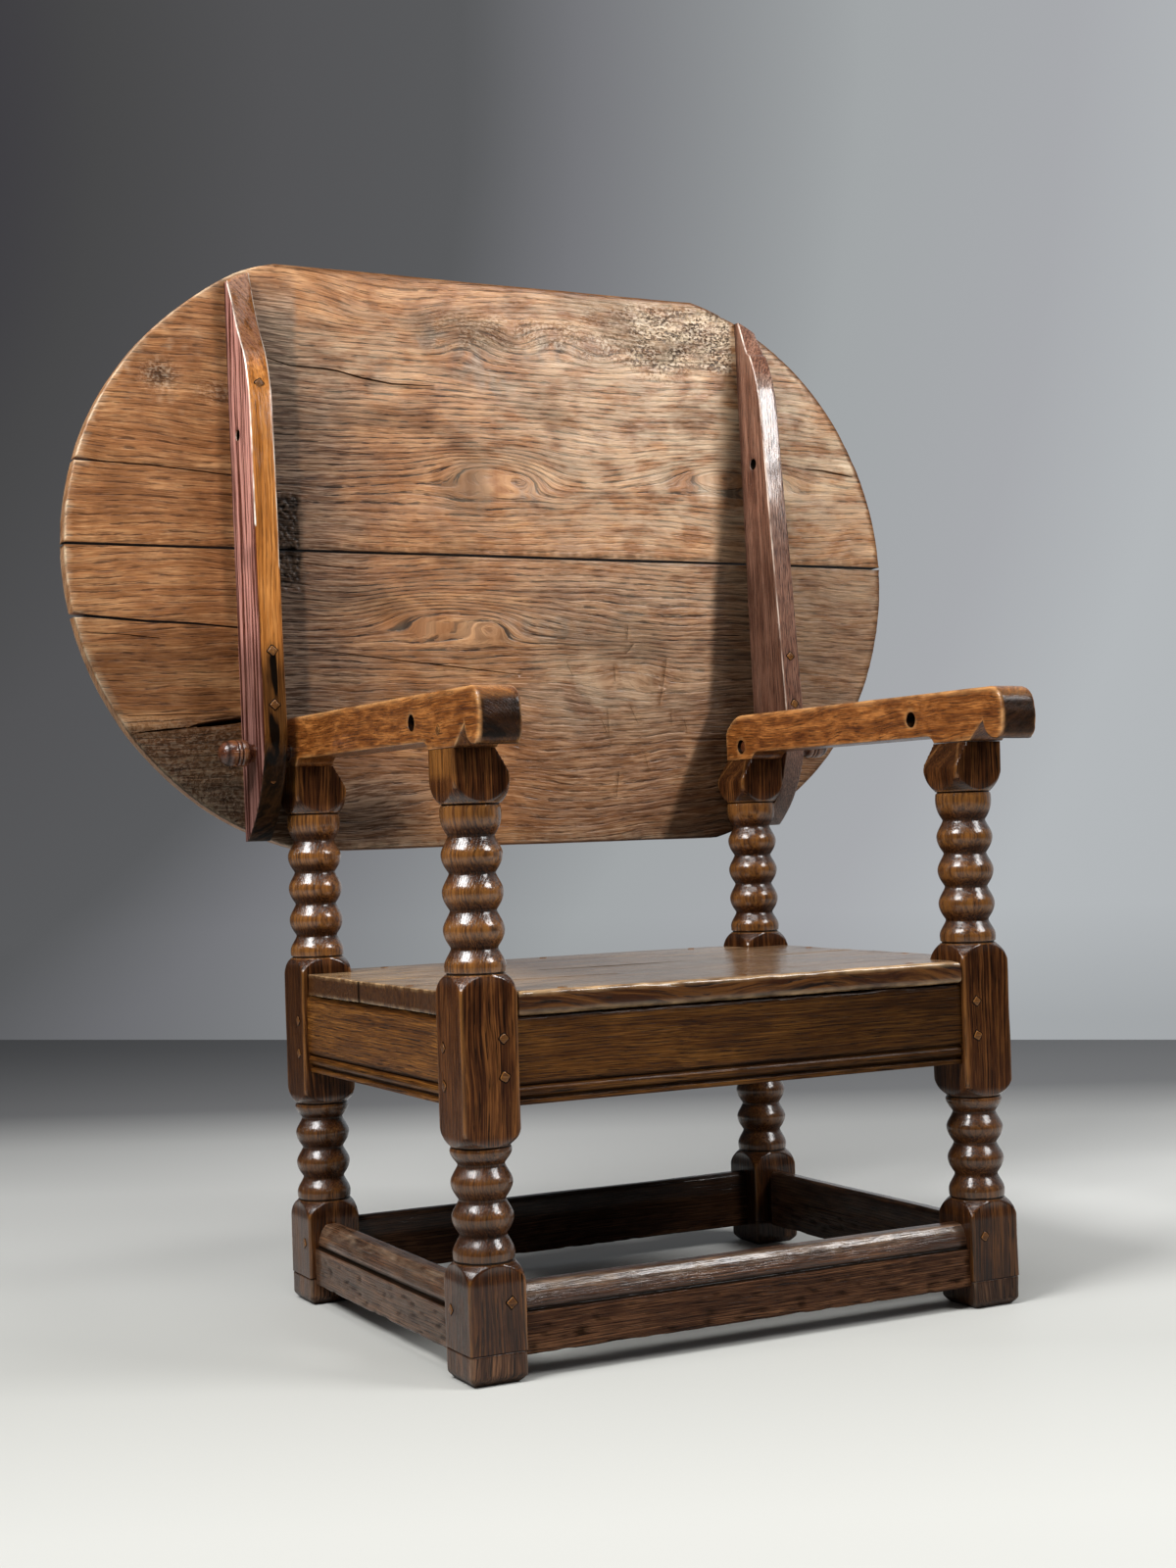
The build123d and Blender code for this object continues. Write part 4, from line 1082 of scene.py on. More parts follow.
lowerCracks = [
    {"line": [(-329, 141), (-262, 135), (-152, 123), (11, 106)], "width": 1.2, "depth": 2.5, "dark": 0.8},
    {"line": [(-589, 157), (-540, 155), (-490, 150)], "width": 1.0, "depth": 2},
    {"line": [(-540, 52), (-475, 54), (-392, 56)], "width": 1.2, "depth": 3},
    {"line": [(-527, 31), (-495, 34), (-450, 38)], "width": 2.4, "depth": 10},
    {"line": [(-462, 37), (-440, 40.5), (-418, 43), (-385, 47), (-340, 51)], "width": 9.0, "depth": 20},
    {"line": [(-340, 60), (-210, 52), (-60, 58)], "width": 0.9, "depth": 1.6, "dark": 0.6},
    *({"line": line, "width": 1.1, "depth": 0.6, "dark": 0.6} for line in topScratches),
    {"line": [(100, -20), (280, -14), (430, -22)], "width": 1.0, "depth": 2, "side": 1},
]


# Soft patches on the underside: middle, half width and half height, and a strength after them.
topPatches = {
    # Darker patches: a scorch by the knot, a smear, one low on the left and one near the top.
    "darkPatches": [((-481, 488, 24, 18), 0.7), ((90, 160, 90, 35), 0.3), ((-230, -85, 90, 45), 0.45),
               ((-80, 585, 60, 25), 0.3)],
    "ruffled": [((-104, 566, 34, 20), 0.85), ((-40, 540, 30, 34), 0.85), ((-8, 508, 34, 18), 0.85),
                ((36, 352, 26, 16), 0.85), ((75, 560, 60, 22), 0.85), ((58, 170, 80, 26), 0.85)],
    "wornAndGlint": (-190, 540, 150, 90), "lowRubbed": (150, 95, 150, 60), "knotEdge": (-470, 500, 50, 50),
    "scuff": (320, 500, 13, 80), "knot": (-481, 488, 20, 16), "besideKnot": (-400, 470, 30, 14),
}


def oval(x, h, spot):  # 1 in the middle of a soft patch
    return math.exp(-((x - spot[0]) / spot[2]) ** 2 - ((h - spot[1]) / spot[3]) ** 2)


def undersideMarks(x, h):
    # How far the old surface lies below the plane, and how worn, dark and grey it is.
    wobble, shade = bumps(x / 50, h / 25, 3.0), bumps(x / 120, h / 60, 11.0)
    grains = bumps(x / 60, h / 7, 8.0)
    flecks = bumps(x / 7, h / 5, 5.0) + 0.5 * bumps(x / 3, h / 2.4, 2.0)
    crumb = bumps(x / 5, h / 3.2, 9.0) + 0.5 * bumps(x / 2.6, h / 1.8, 4.0)
    hole = fade(0.05, 0.45, bumps(x / 7.5, h / 4.2, 7.0) + 0.6 * bumps(x / 3.6, h / 2.4, 3.0))
    ruffled = fade(-0.35, 0.25, bumps(x / 14, h / 16, 6.0) + 0.4 * flecks)
    # The band that a fitting once covered beside the left batten, its faded rim and its charred patch.
    band = fade(-292 + 4 * wobble, -298 + 4 * wobble, x) * fade(-370, -362, x) * fade(650, 560, h)
    haze = fade(-150 + 40 * wobble, -285 + 40 * wobble, x) * fade(-370, -362, x)
    haze = haze * fade(-40, 40, h) * fade(600, 500, h)
    char = fade(-297, -303, x + 6 * wobble) * fade(205, 228, h) * fade(352, 335, h) * fade(-362, -350, x)
    # The batten's shadow, the worm-eaten patch at the upper right, and the broken lower left corner.
    edge = 352 - 0.118 * (491 - h) - 0.35 * max(0.0, 60 - h)
    soft = 8 + 26 * fade(250, 520, h)
    pits = fade(150, 250, x) * fade(372, 366, x) * fade(536, 568, h + 20 * shade) * fade(640, 628, h)
    pits *= fade(-0.35, 0.1, bumps(x / 45, h / 18, 2.0))
    wedge = fade(60, 10, h) * fade(-370, -400, x)
    # Paler towards the upper right: partly bleached wood, partly a painted sheen.
    bleachAndSheen = fade(-300, 330, x + 60 * shade) * fade(60, 460, h + 60 * shade)
    lift = -char * (1.0 + 2.4 * crumb) - pits * hole * 1.6
    lift = lift + 0.9 * flecks * wedge + 0.35 * fade(-0.1, 0.35, grains) * fade(410, 430, x)
    dark = [
        0.5 * band * fade(660, 430, h) * (0.9 + 0.5 * shade), 0.16 * haze, char * (0.85 + 0.3 * crumb),
        0.5 * fade(-414, -402, x) * fade(-385, -392, x), 0.35 * pits * hole, 0.3 * fade(0.12, 0.5, shade),
        0.8 * fade(edge - soft, edge + soft, x) * fade(412, 400, x) * fade(620, 520, h),
        0.78 * fade(60, 30, h) * fade(-385, -392, x), 0.2 * fade(-380, -420, x),
        (0.5 + 0.4 * shade) * fade(40, -70, h) * fade(-60, -210, x),
        0.5 * fade(250, 130, h) * fade(-380, -400, x), 0.22 * fade(260, 40, h),
        0.2 * fade(404, 412, x) * fade(330, 230, h), 0.35 * fade(-40, -118, h),
        *(strength * oval(x, h, spot) for spot, strength in topPatches["darkPatches"]),
    ]
    grey = [
        0.8 * band, 0.6 * haze, 0.4 * fade(-60, 80, x) * fade(300, 210, h), 0.5 * pits,
        0.7 * fade(20, -60, h) * fade(-60, -210, x),
        *(strength * ruffled * oval(x, h, spot) for spot, strength in topPatches["ruffled"]),
    ]
    # Between the pits the ridges are paler, partly a painted glint.
    wear = [
        bleachAndSheen * (0.74 + 0.3 * grains), 0.8 * pits * (1 - hole), 0.42 * oval(x, h, topPatches["wornAndGlint"]),
        0.5 * oval(x, h, topPatches["lowRubbed"]) * (1 + 0.5 * grains),
        0.15 * fade(-300, -100, x) * fade(0, 80, h), 0.5 * fade(0.25, 0.6, flecks) * wedge,
        0.7 * oval(x, h, topPatches["knotEdge"]) * fade(0.2, 0.5, flecks),
        0.8 * oval(x, h, topPatches["scuff"]) * (1 + 1.2 * flecks),
        1.2 * fade(410, 430, x) * fade(370, 420, h) * fade(-0.1, 0.35, grains),
    ]
    return lift, max(wear), max(dark), max(grey)


def undersideAge(spot):
    # How strongly the yearly rings show, and how eaten the surface is.
    x, depth, h = spot
    if depth > topShape["under"] + 6:
        return (0.5, 0.0, 0.0)
    drift = 18 * bumps(x / 90, h / 50, 1.0)
    rings = max(fade(300, 335, h + drift) * fade(600, 540, h + drift),
                fade(96, 120, h + drift) * fade(262, 240, h + drift))
    rings = max(rings * fade(-400, -330, x) * fade(420, 330, x),
                0.8 * fade(404, 410, x) * fade(300, 380, h))
    rough = fade(90, 300, x + 2 * drift) * fade(374, 366, x)
    rough = rough * fade(525, 565, h + 1.5 * drift) * fade(642, 625, h)
    faint = 0.45 * fade(-150, -60, x) * fade(260, 100, x) * fade(540, 565, h + drift) * fade(612, 585, h)
    gnawed = fade(-0.5, 0.2, bumps(x / 30, h / 14, 2.0))
    eaten = [rough * (0.3 + 0.7 * gnawed), faint * gnawed, 0.5 * fade(60, 20, h) * fade(-380, -410, x),
             0.8 * oval(x, h, topPatches["knot"]), 0.4 * oval(x, h, topPatches["besideKnot"])]
    return (0.16 + 0.84 * rings, max(eaten), 0.0)


def topRelief(spot, normal):
    x, depth, h = spot
    rim = math.hypot(max(abs(x) - topShape["centreX"], 0), h - topShape["middle"])
    # Paler near the rim: worn, and partly a painted highlight, kept only on the left end.
    lift, wear, dark, tone = 0.0, 0.25 * fade(300, 390, rim), 0.0, 0.0
    if depth < topShape["under"] + 6:
        lift, wear, dark, tone = undersideMarks(x, h)
    if rim > 392 and x > -200 or h < -122 or h > 643:  # the rims right of the left end and the straight top and bottom edges lose their pale edge and are darker: painted shade
        wear, dark = -1.0, max(dark, 0.45)
    return lift, wear, dark, tone


# heart: how far the middle of the tree lies; dense: where the mesh is finer, and its step;
# swirls: middle, half width, half height and lift of each place where the grain runs round a knot
topBoards = {
    "Lower": {
        "heart": (-420.0, -380.0), "cracks": lowerCracks,
        "dense": [(-360, 205, -297, 262, 2.4), (-540, -90, -395, 24, 3.2)],
        "swirls": [(-60, -10, 120, 16, 7), (-95, 190, 110, 27, -25), (-30, 172, 34, 16, -9),
                   (190, 120, 90, 30, -13), (-240, 205, 60, 24, 9)],
    },
    "Upper": {
        "heart": (-300.0, -420.0), "cracks": upperCracks,
        "dense": [(-360, 274, -297, 350, 2.4), (130, 535, 366, 640, 2.8)],
        "swirls": [(-25, 390, 84, 25, -30), (32, 374, 30, 17, -12), (345, 398, 120, 24, -34),
                   (-55, 560, 36, 24, -13), (25, 572, 32, 20, 11), (150, 556, 44, 20, 10),
                   (-150, 590, 80, 26, 12)],
    },
}


def makeTopBoard(name, outline, seed):
    t, board = topShape, topBoards[name]
    shape = plank(sampled(outline, 5.0), (t["under"], t["face"]), lambda u, v, w: (u, w, v),
                  step=7.0, rowStep=5.0, grooves=board["cracks"], dense=board["dense"])
    lie = {"axes": (0, 2, 1), "heart": board["heart"], "seed": seed, "sway": 13, "ripple": 2.0,
           "swirls": board["swirls"]}
    makePiece("tableBoard" + name, shape, {
        "lie": lie, "finish": finishes["adzedOak"], "body": "table_top", "uneven": 0.8, "relief": topRelief,
        "age": undersideAge, "place": leaned, "nodes": ["table_board_" + name.lower()], "slot": "top_oak",
        "sharp": 55})


def makeTop():
    t = topShape
    splitLow, splitHigh = t["split"] - t["gap"] / 2, t["split"] + t["gap"] / 2
    lower = endArc(1, t["low"], splitLow) + leftEnd(splitLow, t["low"], t["lowerNotch"])
    upper = endArc(1, splitHigh, t["high"]) + leftEnd(t["high"], splitHigh, t["upperNotch"])
    for name, outline, split, seed in (("Lower", lower, splitLow, 51), ("Upper", upper, splitHigh, 52)):
        outline = [(x, h, t["jointEase"] if abs(h - split) < 2 else ease) for x, h, ease in outline]
        makeTopBoard(name, outline, seed)


makeTop()
print("table top made")


battenShape = {  # heel, knee and tip: height above the pivot, and depth of the batten there
    "heel": -110.0, "under": 45.0, "lock": (408.0, 31.0), "kneeReach": (46, 40),
    "left": {"inner": 375.0, "outer": 406.0, "heel": (22, 90), "knee": (470, 82), "tip": (622, 10)},
    "right": {"inner": 362.0, "outer": 391.5, "heel": (22, 88), "knee": (525, 56), "tip": (613, 10)},
}


def battenOutline(side):
    under, low = battenShape["under"], battenShape["heel"]
    heel, knee, tip = (battenShape[side][key] for key in ("heel", "knee", "tip"))

    def spot(height, depth):
        return (under - depth, height)

    middle = ((knee[0] + tip[0]) / 2, (knee[1] + tip[1]) / 2 - 3)
    before, after = battenShape["kneeReach"]
    early = (knee[0] - before, knee[1] + before * (heel[1] - knee[1]) / (knee[0] - heel[0]))
    late = (knee[0] + after, knee[1] - after * (knee[1] - tip[1]) / (tip[0] - knee[0]) + 1.5)
    bend = []
    for k in range(9):
        t = k / 8
        bend.append(spot(*(a * (1 - t) ** 2 + b * 2 * t * (1 - t) + c * t * t
                           for a, b, c in zip(early, knee, late))))
    path = [spot(low, -1), spot(low, 8), *arc(spot(low, 8), spot(-62, 58), spot(*heel), 12)[1:],
            spot(*heel), *bend, spot(*middle), spot(*tip), spot(tip[0], -1)]
    return [(u, v, 2.2 if u < under - 4 else 0.4) for u, v in path][::-1]


def makeBatten(name, side, seed, finish):
    key = name.lower()
    inner, outer = (side * battenShape[key][k] + frameX for k in ("inner", "outer"))
    span = tuple(sorted((inner, outer)))
    lockHeight, lockDrop = battenShape["lock"]
    holes = [{"at": (0.0, 0.0), "radius": 9.5, "lip": 1.0},
             {"at": (battenShape["under"] - lockDrop, lockHeight), "radius": 7.0, "lip": 1.2}]
    outline = turnedLeft(sampled(battenOutline(key), 4.5))
    shape = plank(outline, span, lambda u, v, w: (w, u, v), step=5.5, rowStep=4.5, holes=holes)

    def relief(spot, normal):
        x, depth, h = spot
        scar = bumps(x / 14, h / 45, seed)
        front, leftFace = fade(0.3, 0.8, -normal.y), fade(0.5, 0.9, -normal.x)
        # A painted highlight along the front arrises: the left one of the right batten, and both on the
        # left batten, higher up.
        leftArrisGlint, rightArrisGlint = (fade(0.35, 0.6, sign * normal.x) * fade(0.35, 0.6, -normal.y)
                               for sign in (-1, 1))
        edge = leftArrisGlint * (0.75 + 0.6 * scar)
        if side < 0:  # rubbed, darker low down, at the heel and above the knee, with a channel worn down the middle of its front
            channel = fade(10, 4, abs(x - (inner + outer) / 2 + 4 * scar)) * fade(142, 112, h)
            channel = channel * fade(-28, -10, h) * (front * (0.75 + 0.8 * scar))
            dark = [0.8 * fade(150, 90, h) * front, 0.62 * fade(490, 520, h) * front, 1.2 * channel,
                    0.95 * fade(40, -10, h) * (1 - 0.4 * leftFace),
                    (0.5 * fade(210, 60, h) + 0.3 * scar) * leftFace]
            tinted = max(fade(0.4, 0.9, -normal.x), 0.3 * front * fade(480, 520, h))
            chip = 0.9 * channel
            edge = max(edge * fade(250, 400, h), 0.6 * rightArrisGlint * fade(200, 330, h))
        else:
            dark = [0.5 * fade(60, -60, h), 0.35 * fade(0.6, 0.9, normal.x),
                    0.3 * front * fade(360, 300, h), 0.45 * leftFace * fade(400, 200, h)]
            # A painted sheen: a pale grey tint on the front face, between about 250 and 545 up.
            tinted = 0.5 * front * fade(545, 520, h) * fade(250, 380, h)
            chip = 2.0 * fade(60, 90, h) * fade(190, 170, h) * edge
        # Darker within 15 mm of the board: painted shade where the batten meets it.
        behind = 0.5 * fade(30, 44, depth)
        return 0.35 * scar - chip, edge if edge > 0.05 else -1.0, max(*dark, behind), tinted

    def place(spot):  # the tip follows the rim of the top
        x, depth, h = spot
        rim = topShape["middle"] + math.sqrt(topShape["radius"] ** 2 - (abs(x) - topShape["centreX"]) ** 2)
        tip = battenShape[key]["tip"][0]
        return leaned((x, depth, h + (rim - 1.5 - tip) * fade(tip - 45, tip, h)))

    lie = {"axes": (2, 0, 1), "heart": (outer + side * 60, -70.0), "seed": seed, "sway": 5, "ripple": 1.5}
    makePiece("batten" + name, shape, {
        "lie": lie, "finish": finish, "body": "table_top", "uneven": 0.6, "relief": relief, "place": place,
        "nodes": ["batten_" + key], "slot": "batten_oak", "sharp": 60})


makeBatten("Left", -1, 61, finishes["stainedOak"])
makeBatten("Right", 1, 62, finishes["smokedOak"])
print("battens made")


pinShape = {  # rows are the distance out from the chair's middle, and the radius there
    "tip": 313.5, "shank": 8.7, "groove": 15.4, "sides": 44,
    "collar": [(401.8, 8.7), (402.0, 12.2), (402.8, 12.6), (404, 11.8), (407, 11.2), (410, 11.8),
               (412.6, 13.2), (414.2, 14.6)],
    "knob": [(415.4, 15.9), (417.5, 16.7), (420, 17.0), (422.4, 16.9), (423.4, 16.4), (424, 15.4),
             (424.6, 16.4), (425.6, 16.9), (427.4, 17.0), (428.6, 16.4), (429.2, 15.4), (429.8, 16.4),
             (431, 16.9), (434, 17.0), (438, 16.6), (442, 15.4), (445.5, 13.4), (448.2, 10.8),
             (450.2, 7.6), (451.5, 4.0), (452, 1.2)],
}


def makePin(name, side, seed):
    tip, shank, sides = (pinShape[key] for key in ("tip", "shank", "sides"))
    rows = [(tip, 7.0), (tip + 1.5, shank), *((tip + 6 + 9.5 * k, shank - 0.1 * (k % 2)) for k in range(9)),
            *pinShape["collar"], *pinShape["knob"]]
    angles = [math.tau * k / sides for k in range(sides)]

    def spotAt(a, b, reach):
        return (frameX + side * reach, pivot["y"] + a, pivot["z"] + b)

    def markAt(angle, row, radius):
        return [0.6 * fade(16.4, 17, row[1]), 0.8 if row[1] == pinShape["groove"] else 0.0, 0.0]

    shape = ringed(rows, angles, lambda angle, row: row[1], spotAt, markAt)
    lie = {"axes": (0, 1, 2), "heart": (pivot["y"] - 30, pivot["z"] - 18), "seed": seed, "sway": 1,
           "ripple": 0.4}
    makePiece("pivotPin" + name, shape, {
        "lie": lie, "finish": finishes["turnedFruitwood"], "body": "pivot_pin_" + name.lower(),
        "uneven": 0.1, "nodes": ["pivot_pin_" + name.lower()], "slot": "pin_oak", "sharp": 60})


makePin("Left", -1, 71)
makePin("Right", 1, 72)
print("pins made")


pegShape = {"side": 9.2, "proud": 1.2, "depth": 44.0, "sides": 32}
# Where the pegs sit, from the middle of the posts or, on a batten, up from the pivot.
pegPlaces = {
    "rail": (325.0, 366.0), "stretcher": (86.0,), "post": (311.0, 280.5, 360.5, 231.0),
    "seat": [*((x, y) for y in (-261.0, 261.0) for x in (-230.0, 0.0, 230.0)),
             *((x, y) for x in (-341.0, 341.0) for y in (-95.0, 130.0))],
    "seatHeights": (415.3, 362.0), "arm": (361.3, 315.5, -242.75, 697),
    "batten": (-35.0, 57.0, 125.0, 235.0, 320.0, 465.0),
}
chance = random.Random(17)


def riven(start, end):
    # One peg, riven square and driven in, from its outer end to its inner one.
    start, end = Vector(start), Vector(end)
    axis = (end - start).normalized()
    length = (end - start).length
    across = axis.orthogonal().normalized()
    if abs(across.z) < 0.5 and abs(axis.z) < 0.5:
        across = Vector((0, 0, 1)).cross(axis).normalized()
    other = axis.cross(across)
    half = pegShape["side"] / 2 * chance.uniform(0.9, 1.02)
    twist = math.radians(chance.uniform(-14, 14))
    corner = chance.uniform(0.8, 2.2)
    proud = pegShape["proud"]
    rows = [(0.0, half * 0.6), (0.1, half * 0.8), (0.25, half * 0.94), (0.6, half), (0.9, half + 0.3),
            (proud + 0.2, half + 1.5), (proud + 1.5, half), (length - 1, half), (length, half * 0.8)]
    angles = [math.tau * k / pegShape["sides"] for k in range(pegShape["sides"])]
    odd = chance.uniform(0, 50)

    def spotAt(a, b, reach):
        return tuple(start + across * a + other * b + axis * reach)

    def radiusAt(angle, row):
        uneven = 1 + 0.10 * bumps(math.cos(angle) * 1.6, math.sin(angle) * 1.6, odd)
        return squareRadius(angle + twist, row[1], corner * row[1] / half) * uneven

    def markAt(angle, row, radius):
        return [0.9 if 0.2 < row[0] < 0.7 else 0.0, 1.0 if row[0] > 0.8 else 0.0, 0.0]

    return ringed(rows, angles, radiusAt, spotAt, markAt)


def makePegs(name, node, ends, axes, body="frame", **extra):
    lie = {"axes": axes, "heart": (4000.0, 0.0), "seed": 81}
    makePiece(name, joined([riven(*pair) for pair in ends]), {
        "lie": lie, "finish": finishes["rivenOak"], "body": body, "uneven": 0.15, "nodes": [node],
        "slot": "peg_oak", "sharp": 50, **extra})


def cornerPegs(heights):
    ends = []
    frontX, faceY, faceX, sideY = pegPlaces["post"]
    proud, depth = pegShape["proud"], pegShape["depth"]
    for right in (-1, 1):
        for rear in (-1, 1):
            for z in heights:
                x, y = frameX + right * frontX, frameY + rear * (faceY + proud)
                ends.append(((x, y, z), (x, y - rear * depth, z)))
                x, y = frameX + right * (faceX + proud), frameY + rear * sideY
                ends.append(((x, y, z - 10), (x - right * depth, y, z - 10)))
    return ends


def battenPegs(batten, side):
    x = frameX + side * (batten["inner"] + batten["outer"]) / 2
    (heelHeight, deep), (kneeHeight, shallow) = batten["heel"], batten["knee"]
    ends = []
    for h in pegPlaces["batten"]:
        depth = deep + (shallow - deep) * max(0, h - heelHeight) / (kneeHeight - heelHeight)
        sunk = 17.5 if h < 0 else -1.0 if h < 130 else 2.5
        ends.append(((x, topShape["under"] - depth + sunk, h), (x, topShape["face"] + 0.3, h)))
    return ends


def makeAllPegs():
    makePegs("railPegs", "rail_pegs", cornerPegs(pegPlaces["rail"]), (0, 1, 2))
    makePegs("stretcherPegs", "stretcher_pegs", cornerPegs(pegPlaces["stretcher"]), (0, 1, 2))
    makePegs("seatPegs", "seat_pegs", [[(x + frameX, y + frameY, z) for z in pegPlaces["seatHeights"]]
                                       for x, y in pegPlaces["seat"]], (2, 0, 1))
    outer, inner, y, z = pegPlaces["arm"]
    makePegs("armPegs", "arm_pegs", [[(frameX + side * x, frameY + y, z) for x in (outer, inner)]
                                     for side in (-1, 1)], (0, 1, 2))
    for key, side in (("left", -1), ("right", 1)):
        makePegs("battenPegs" + key.capitalize(), "batten_pegs_" + key, battenPegs(battenShape[key], side),
                 (1, 0, 2), "table_top", place=leaned)


makeAllPegs()
print("pegs made")


stageShape = {
    "far": ((6.69, -1.81), (5.59, 1.51)),  # m, ahead of the camera and to its side
    "wide": 9.0, "near": -9.0, "steps": 24,
    "tones": ((0.0, "#b4b4b2"), (0.24, "#a4a4a2"), (0.38, "#c6c6c1"), (0.42, "#cacac5"),
              (0.5, "#c0c0bb"), (0.6, "#d8d8d4"), (0.663, "#e7e7e3"), (0.74, "#d2d2cf"),
              (0.81, "#8c8c8d"), (0.99, "#7b7c7e")),
}
wallShadeTones = (
    (0.62, "#b2b6b9"), (0.72, "#b4b8bb"), (0.766, "#a8aaae"), (0.819, "#a2a6a8"), (0.883, "#76777b"),
    (0.905, "#5a5b5d"), (0.937, "#545456"), (0.961, "#484849"), (0.972, "#3f3e42"))
cameraSpot = {"at": (-1.2662, -2.3831, 0.5844), "yaw": 27.1, "pitch": 1.22, "roll": -1.83, "lens": 50.0}
lampTarget = (0.0, 0.0, 0.7)
lamps = [  # azimuth and elevation in degrees, distance and size in m, power in W
    {"name": "leftSoftbox", "azimuth": 252.0, "elevation": 42.0, "distance": 3.2, "size": (1.5, 1.1),
     "power": 140.0},
    {"name": "rightSoftbox", "azimuth": 140.0, "elevation": 33.0, "distance": 3.4, "size": (1.3, 1.0),
     "power": 76.0},
    {"name": "overhead", "azimuth": 205.0, "elevation": 68.0, "distance": 2.9, "size": (1.6, 1.2),
     "power": 38.0},
]


def makeFloor():
    # A level sheet whose far edge lies along the foot of the studio's wall.
    s = stageShape
    yaw = math.radians(cameraSpot["yaw"])
    ahead, across = Vector((math.sin(yaw), math.cos(yaw), 0)), Vector((math.cos(yaw), -math.sin(yaw), 0))
    foot = Vector((cameraSpot["at"][0], cameraSpot["at"][1], 0))
    (d0, l0), (d1, l1) = s["far"]
    points, faces = [], []
    for i in range(s["steps"] + 1):
        lateral = s["wide"] * (2 * i / s["steps"] - 1)
        edge = max(2.0, d0 + (d1 - d0) * (lateral - l0) / (l1 - l0))
        for j in range(s["steps"] + 1):
            reach = s["near"] + (edge - s["near"]) * j / s["steps"]
            points.append(tuple(foot + ahead * reach + across * lateral))
    count = s["steps"] + 1
    for i in range(s["steps"]):
        for j in range(s["steps"]):
            k = i * count + j
            faces.append((k, k + count, k + count + 1, k + 1))
    mesh = bpy.data.meshes.new("studioFloor")
    mesh.from_pydata(points, [], faces)
    floor = bpy.data.objects.new("studioFloor", mesh)
    bpy.context.scene.collection.objects.link(floor)
    # Matt pale paint: it takes soft shadows and shows no clear reflection.
    material = bpy.data.materials.new("floorPaintAndShading")
    material.use_nodes = True
    tree = material.node_tree
    tree.nodes.clear()
    dot = {"operation": "DOT_PRODUCT"}
    # The pale paint's tone is graded, brightest in the middle distance and darker to one side: painted
    # light and shade.
    for row in (
            ("where", "TexCoord"),
            ("away", "VectorMath", dot, {0: ("where", "Object"), 1: tuple(ahead)}),
            ("awayPart", "MapRange", {}, {0: ("away", "Value"), 1: -4.0, 2: 3.5}),
            ("paint", "ValToRGB", {}, {0: "awayPart"}, s["tones"]),
            ("aside", "VectorMath", dot, {0: ("where", "Object"), 1: tuple(across)}),
            ("asidePart", "MapRange", {}, {0: ("aside", "Value"), 1: -2.2, 2: 0.6}),
            ("dim", "ValToRGB", {}, {0: "asidePart"}, ((0, 0.7), (1, 1))),
            ("colour", "Mix", {"data_type": "RGBA", "blend_type": "MULTIPLY"},
             {0: 1.0, 6: "paint", 7: "dim"}),
            ("shader", "BsdfPrincipled", {}, {"Base Color": ("colour", 2), "Roughness": 0.55, "IOR": 1.45}),
            ("output", "OutputMaterial", {}, {"Surface": "shader"})):
        addNode(tree, *row)
    mesh.materials.append(material)


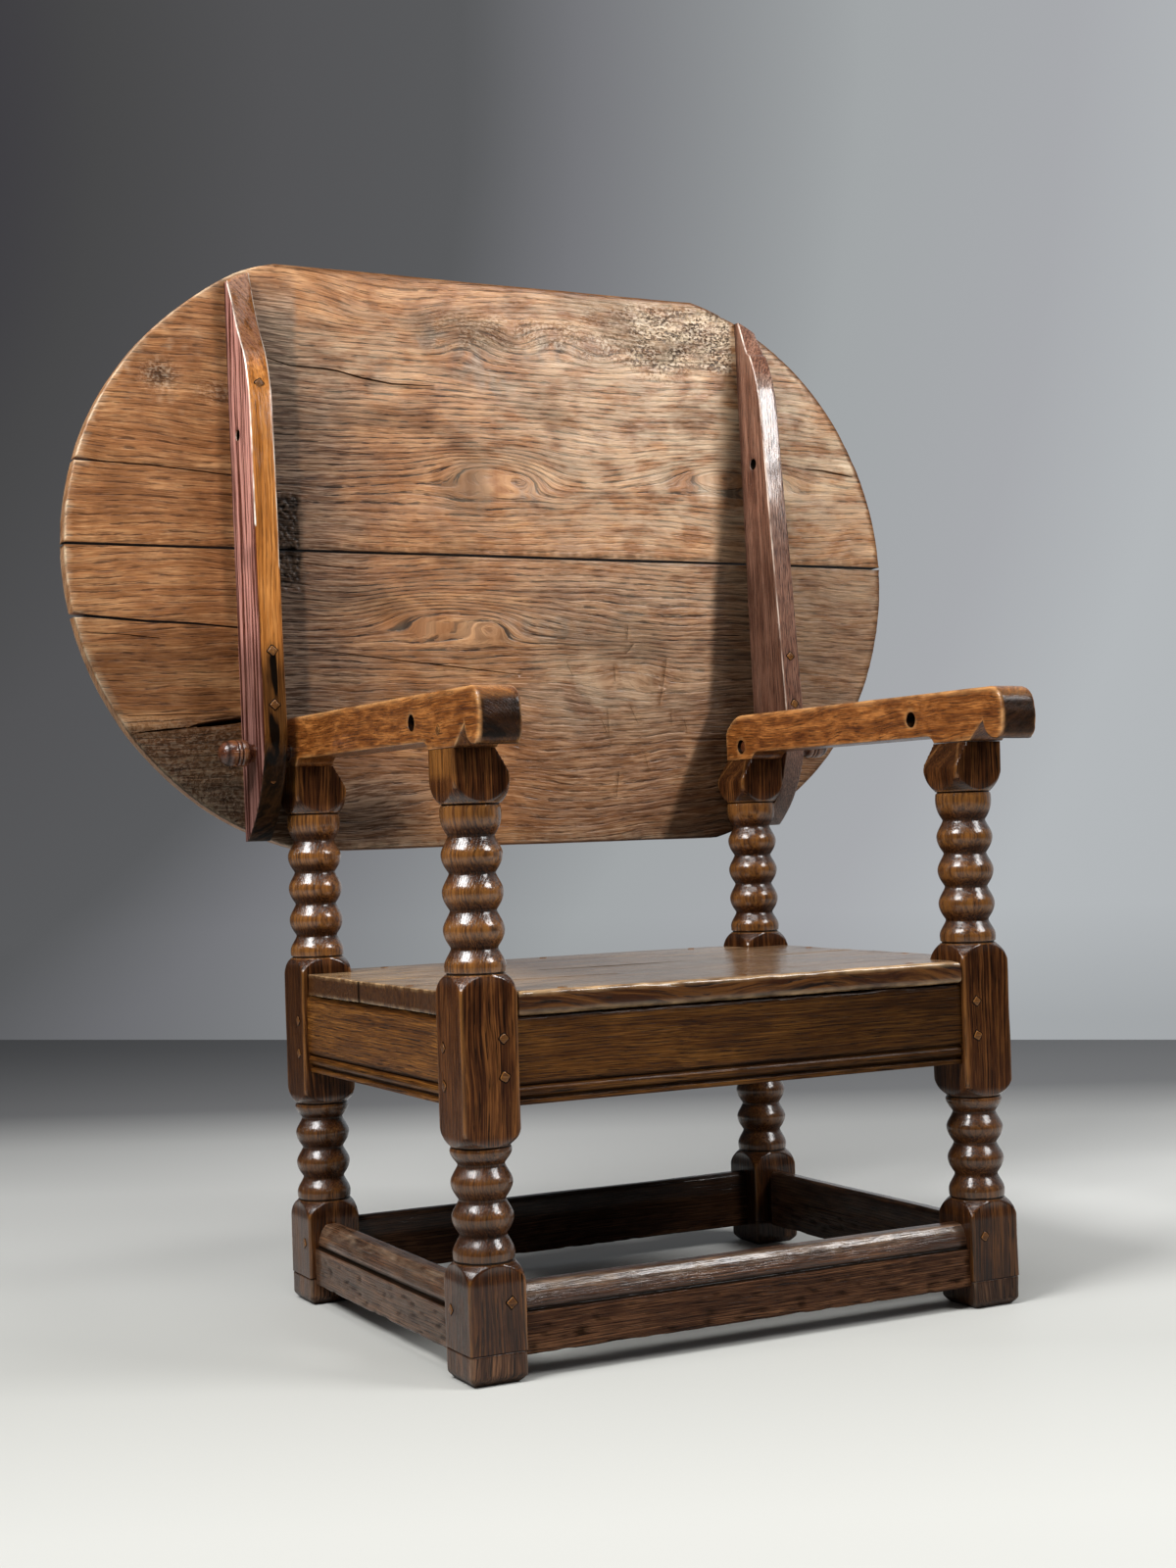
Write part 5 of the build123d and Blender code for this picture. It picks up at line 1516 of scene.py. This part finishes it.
def makeWorld():
    # The wall as the camera and the gloss see it, and a dim even light for everything else.
    world = bpy.data.worlds.new("studio")
    bpy.context.scene.world = world
    world.use_nodes = True
    tree = world.node_tree
    tree.nodes.clear()
    turn, rise = math.radians(-2.0), math.radians(18.0)  # where the painted shade on the wall is deepest
    towards = (math.sin(turn) * math.cos(rise), math.cos(turn) * math.cos(rise), math.sin(rise))
    dot, scale, larger = ({"operation": kind} for kind in ("DOT_PRODUCT", "SCALE", "MAXIMUM"))
    for row in (
            ("facing", "TexCoord"),
            # The wall's tone is graded, darker towards the upper left: painted shade.
            ("nearDark", "VectorMath", dot, {0: ("facing", "Generated"), 1: towards}),
            ("wall", "ValToRGB", {}, {0: ("nearDark", "Value")}, wallShadeTones),
            ("height", "SeparateXYZ", {}, {0: ("facing", "Generated")}),
            ("skirting", "MapRange", {}, {0: ("height", "Z"), 1: -0.09, 2: -0.04, 3: 0.82, 4: 1.0}),
            ("lowWall", "VectorMath", scale, {0: "wall", 3: "skirting"}),
            ("depth", "VectorMath", dot, {0: ("facing", "Generated"), 1: (0.8, 0.6, 0.0)}),
            ("front", "MapRange", {}, {0: ("depth", "Value"), 1: 0.35, 2: 0.85, 3: 0.1, 4: 1.0}),
            ("unlit", "VectorMath", scale, {0: "lowWall", 3: "front"}),  # the rest of the room
            ("rays", "LightPath"),
            ("colour", "Mix", {"data_type": "RGBA"},
             {0: ("rays", "Is Glossy Ray"), 6: "lowWall", 7: "unlit"}),
            ("seen", "Background", {}, {"Strength": 1.0, "Color": ("colour", 2)}),
            ("soft", "Background", {}, {"Color": hexColour("#e4e8ee"), "Strength": 0.14}),
            ("direct", "Math", larger, {0: ("rays", "Is Camera Ray"), 1: ("rays", "Is Glossy Ray")}),
            ("shows", "Math", larger, {0: "direct", 1: ("rays", "Is Transmission Ray")}),
            ("mix", "MixShader", {}, {0: "shows", 1: "soft", 2: "seen"}),
            ("output", "OutputWorld", {}, {"Surface": "mix"})):
        addNode(tree, *row)


def makeLamps():
    target = Vector(lampTarget)
    for lamp in lamps:
        data = bpy.data.lights.new(lamp["name"], "AREA")
        data.shape = "RECTANGLE"
        data.size, data.size_y = lamp["size"]
        data.energy = lamp["power"]
        turn, rise = math.radians(lamp["azimuth"]), math.radians(lamp["elevation"])
        away = Vector((math.sin(turn) * math.cos(rise), math.cos(turn) * math.cos(rise), math.sin(rise)))
        light = bpy.data.objects.new(lamp["name"], data)
        light.location = target + away * lamp["distance"]
        light.rotation_euler = (-away).to_track_quat("-Z", "Y").to_euler()
        bpy.context.scene.collection.objects.link(light)


def makeCamera():
    yaw, pitch, roll = (math.radians(cameraSpot[k]) for k in ("yaw", "pitch", "roll"))
    forward = Vector((math.sin(yaw) * math.cos(pitch), math.cos(yaw) * math.cos(pitch), math.sin(pitch)))
    right = Vector((math.cos(yaw), -math.sin(yaw), 0))
    up = right.cross(forward)
    across = right * math.cos(roll) + up * math.sin(roll)
    upward = up * math.cos(roll) - right * math.sin(roll)
    data = bpy.data.cameras.new("camera")
    data.lens, data.sensor_width = cameraSpot["lens"], 36.0
    data.clip_start, data.clip_end = 0.05, 50.0
    camera = bpy.data.objects.new("camera", data)
    turn = Matrix((across, upward, -forward)).transposed().to_4x4()
    camera.matrix_world = Matrix.Translation(cameraSpot["at"]) @ turn
    bpy.context.scene.collection.objects.link(camera)
    bpy.context.scene.camera = camera


makeFloor()
makeWorld()
makeLamps()
makeCamera()
bpy.context.scene.view_settings.view_transform = "Standard"
print("stage, light and camera set")

bpy.context.view_layer.update()
